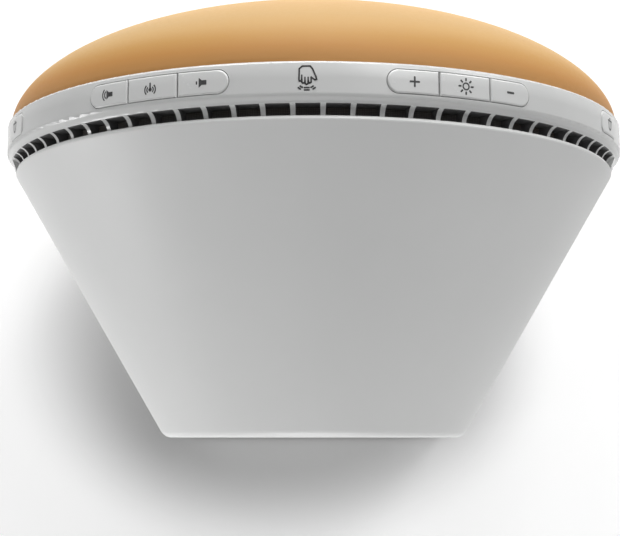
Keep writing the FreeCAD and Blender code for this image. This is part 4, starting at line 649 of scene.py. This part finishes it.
def digitBars(digit, across):
    half, rise, gap = timeLook["width"] / 2, timeLook["height"] / 2, timeLook["gap"]
    ends = {
        "a": ((-half + gap, rise), (half - gap, rise)),
        "b": ((half, rise - gap), (half, gap)),
        "c": ((half, -gap), (half, -rise + gap)),
        "d": ((-half + gap, -rise), (half - gap, -rise)),
        "e": ((-half, -gap), (-half, -rise + gap)),
        "f": ((-half, rise - gap), (-half, gap)),
    }
    bars = []
    for bar in litBars[digit]:
        start, end = (Vector(spot) + Vector((across, 0)) for spot in ends[bar])
        inset = (end - start).normalized() * timeLook["stroke"] / 2
        bars.append(addStroke(start + inset, end - inset, timeLook["stroke"], timeLook["thick"]))
    return bars


def glowFinish(name, look):
    finish, tree, shader = startFinish(name)
    tone = addRamp(tree, addGrain(tree, 400), look["tones"])
    tree.links.new(tone, shader.inputs["Base Color"])
    tree.links.new(tone, shader.inputs["Emission Color"])
    shader.inputs["Emission Strength"].default_value = look["shine"]
    tree.links.new(addRange(tree, addGrain(tree, 900), *look["rough"]), shader.inputs["Roughness"])
    return finish


timeParts = [bar for digit, across in timeLook["digits"] for bar in digitBars(digit, across)]
for rise in timeLook["dots"]:
    low, high = ((timeLook["colon"], rise + side * timeLook["dotHalf"]) for side in (-1, 1))
    timeParts.append(addStroke(low, high, timeLook["stroke"], timeLook["thick"]))
timeSign = joined(timeParts, "time_glow")
timeSign.matrix_world = Matrix.Translation(timeLook["start"]) @ Matrix.Rotation(math.pi / 2, 4, "X")
settle(timeSign)
bpy.ops.object.mode_set(mode="EDIT")
bpy.ops.mesh.select_all(action="SELECT")
bpy.ops.mesh.quads_convert_to_tris(quad_method="BEAUTY", ngon_method="BEAUTY")
bpy.ops.mesh.subdivide(number_cuts=timeLook["cuts"])
bpy.ops.object.mode_set(mode="OBJECT")
addModifier(
    timeSign, "SHRINKWRAP", target=nodes["light_dome"], wrap_method="PROJECT", use_project_y=True,
    use_positive_direction=True, use_negative_direction=True, offset=timeLook["proud"] * mm,
)
wear(timeSign, glowFinish("time_glow_finish", timeLook))
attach(timeSign, "case")
print("time set on the dome")


# floor, lamps and camera

stageLook = {
    "floorSize": 6.0, "floorTone": 0.585, "toneSpread": 0.004, "floorGrain": 9, "floorRough": 0.9,
    # the shine entries set the floor's camera-only glow, low near the object as a painted shadow; the shade
    # entries place that painted shadow
    "paintedShadowShine": 0.038, "farShine": 0.49, "worldLight": 0.2, "background": 1.0,
    "shadeMiddle": (0.015, 0.026, 0.0), "shadeReach": (0.061, 0.049, 1.0), "shadeEnd": 1.779,
}


def whiteShare(tree):
    # 1 for rays that should see a white background
    path = addNode(tree, "LightPath").outputs
    share = addNode(tree, "Math", operation="ADD", use_clamp=True)
    tree.links.new(addMath(tree, "ADD", path["Is Camera Ray"], path["Is Glossy Ray"]), share.inputs[0])
    tree.links.new(path["Is Transmission Ray"], share.inputs[1])
    return share.outputs[0]


def floorFinish(name, look):
    # matt paper with a painted shadow: its camera-only glow is low near the object and rises away from it, so the
    # paper gets whiter away from the object
    finish, tree, shader = startFinish(name)
    tones = [(at, (look["floorTone"] + side * look["toneSpread"],) * 3) for at, side in ((0.3, -1), (0.7, 1))]
    paper = addRamp(tree, addGrain(tree, look["floorGrain"]), tones)
    tree.links.new(paper, shader.inputs["Base Color"])
    shader.inputs["Roughness"].default_value = look["floorRough"]
    shader.inputs["Specular IOR Level"].default_value = 0.0
    shader.inputs["Emission Color"].default_value = (1, 1, 1, 1)
    place = addNode(tree, "TexCoord")
    turn = addNode(tree, "Mapping", vector_type="TEXTURE")
    turn.inputs["Location"].default_value = look["shadeMiddle"]
    turn.inputs["Scale"].default_value = look["shadeReach"]
    reach = addNode(tree, "VectorMath", operation="LENGTH")
    tree.links.new(place.outputs["Object"], turn.inputs["Vector"])
    tree.links.new(turn.outputs["Vector"], reach.inputs[0])
    paintedShadowFade = addNode(tree, "MapRange", interpolation_type="SMOOTHSTEP")
    paintedShadowFade.inputs["From Min"].default_value = 1.0
    paintedShadowFade.inputs["From Max"].default_value = look["shadeEnd"]
    paintedShadowFade.inputs["To Min"].default_value = look["paintedShadowShine"]
    paintedShadowFade.inputs["To Max"].default_value = look["paintedShadowShine"] + look["farShine"]
    tree.links.new(reach.outputs["Value"], paintedShadowFade.inputs["Value"])
    shine = addMath(tree, "MULTIPLY", whiteShare(tree), paintedShadowFade.outputs["Result"])
    tree.links.new(shine, shader.inputs["Emission Strength"])
    return finish


bpy.ops.mesh.primitive_plane_add(size=stageLook["floorSize"], location=(0, 0, 0))
floor = bpy.context.object
floor.name = "floor"
wear(floor, floorFinish("floor_finish", stageLook))

world = bpy.data.worlds.new("studio")
bpy.context.scene.world = world
world.use_nodes = True
worldTree = world.node_tree
backdrop = worldTree.nodes["Background"]
backdrop.inputs["Color"].default_value = (1, 1, 1, 1)
span = addNode(worldTree, "MapRange")
span.inputs["To Min"].default_value = stageLook["worldLight"]
span.inputs["To Max"].default_value = stageLook["background"]
worldTree.links.new(whiteShare(worldTree), span.inputs["Value"])
worldTree.links.new(span.outputs["Result"], backdrop.inputs["Strength"])

lampAim = (0, 0, 0.08)
lamps = {
    # name: place, size, watts
    "leftLamp": ((0.80, 0.30, 0.15), 0.25, 1.8),
    "rearLamp": ((0.0, 0.52, 0.09), 0.30, 1.5),
    "frontLamp": ((0.0, -0.70, 0.25), 0.40, 3.0),
    "frontRightLamp": ((-0.90, -0.90, 0.50), 0.60, 4.0),
    "highLamp": ((-0.30, -0.90, 0.80), 0.30, 3.5),
    "highLeftLamp": ((0.30, -0.90, 0.80), 0.30, 2.2),
    "topRightLamp": ((-0.60, -0.70, 1.10), 0.60, 2.6),
}
for name, (spot, size, power) in lamps.items():
    bpy.ops.object.light_add(type="AREA", location=spot)
    lamp = bpy.context.object
    lamp.name = name
    lamp.data.shape = "DISK"
    lamp.data.size = size
    lamp.data.energy = power
    lamp.rotation_euler = (Vector(spot) - Vector(lampAim)).to_track_quat("Z", "Y").to_euler()

cameraLook = {
    "spot": (-0.00665, 0.0649, 0.5204), "turn": (6.99, 1.03, 180.0), "lens": 80.4, "sensor": 36, "nearest": 0.01,
}
bpy.ops.object.camera_add(location=cameraLook["spot"])
camera = bpy.context.object
camera.rotation_euler = [math.radians(angle) for angle in cameraLook["turn"]]
camera.data.lens = cameraLook["lens"]
camera.data.sensor_width = cameraLook["sensor"]
camera.data.clip_start = cameraLook["nearest"]
bpy.context.scene.camera = camera
bpy.context.scene.view_settings.view_transform = "Standard"
print("floor, lamps and camera set")
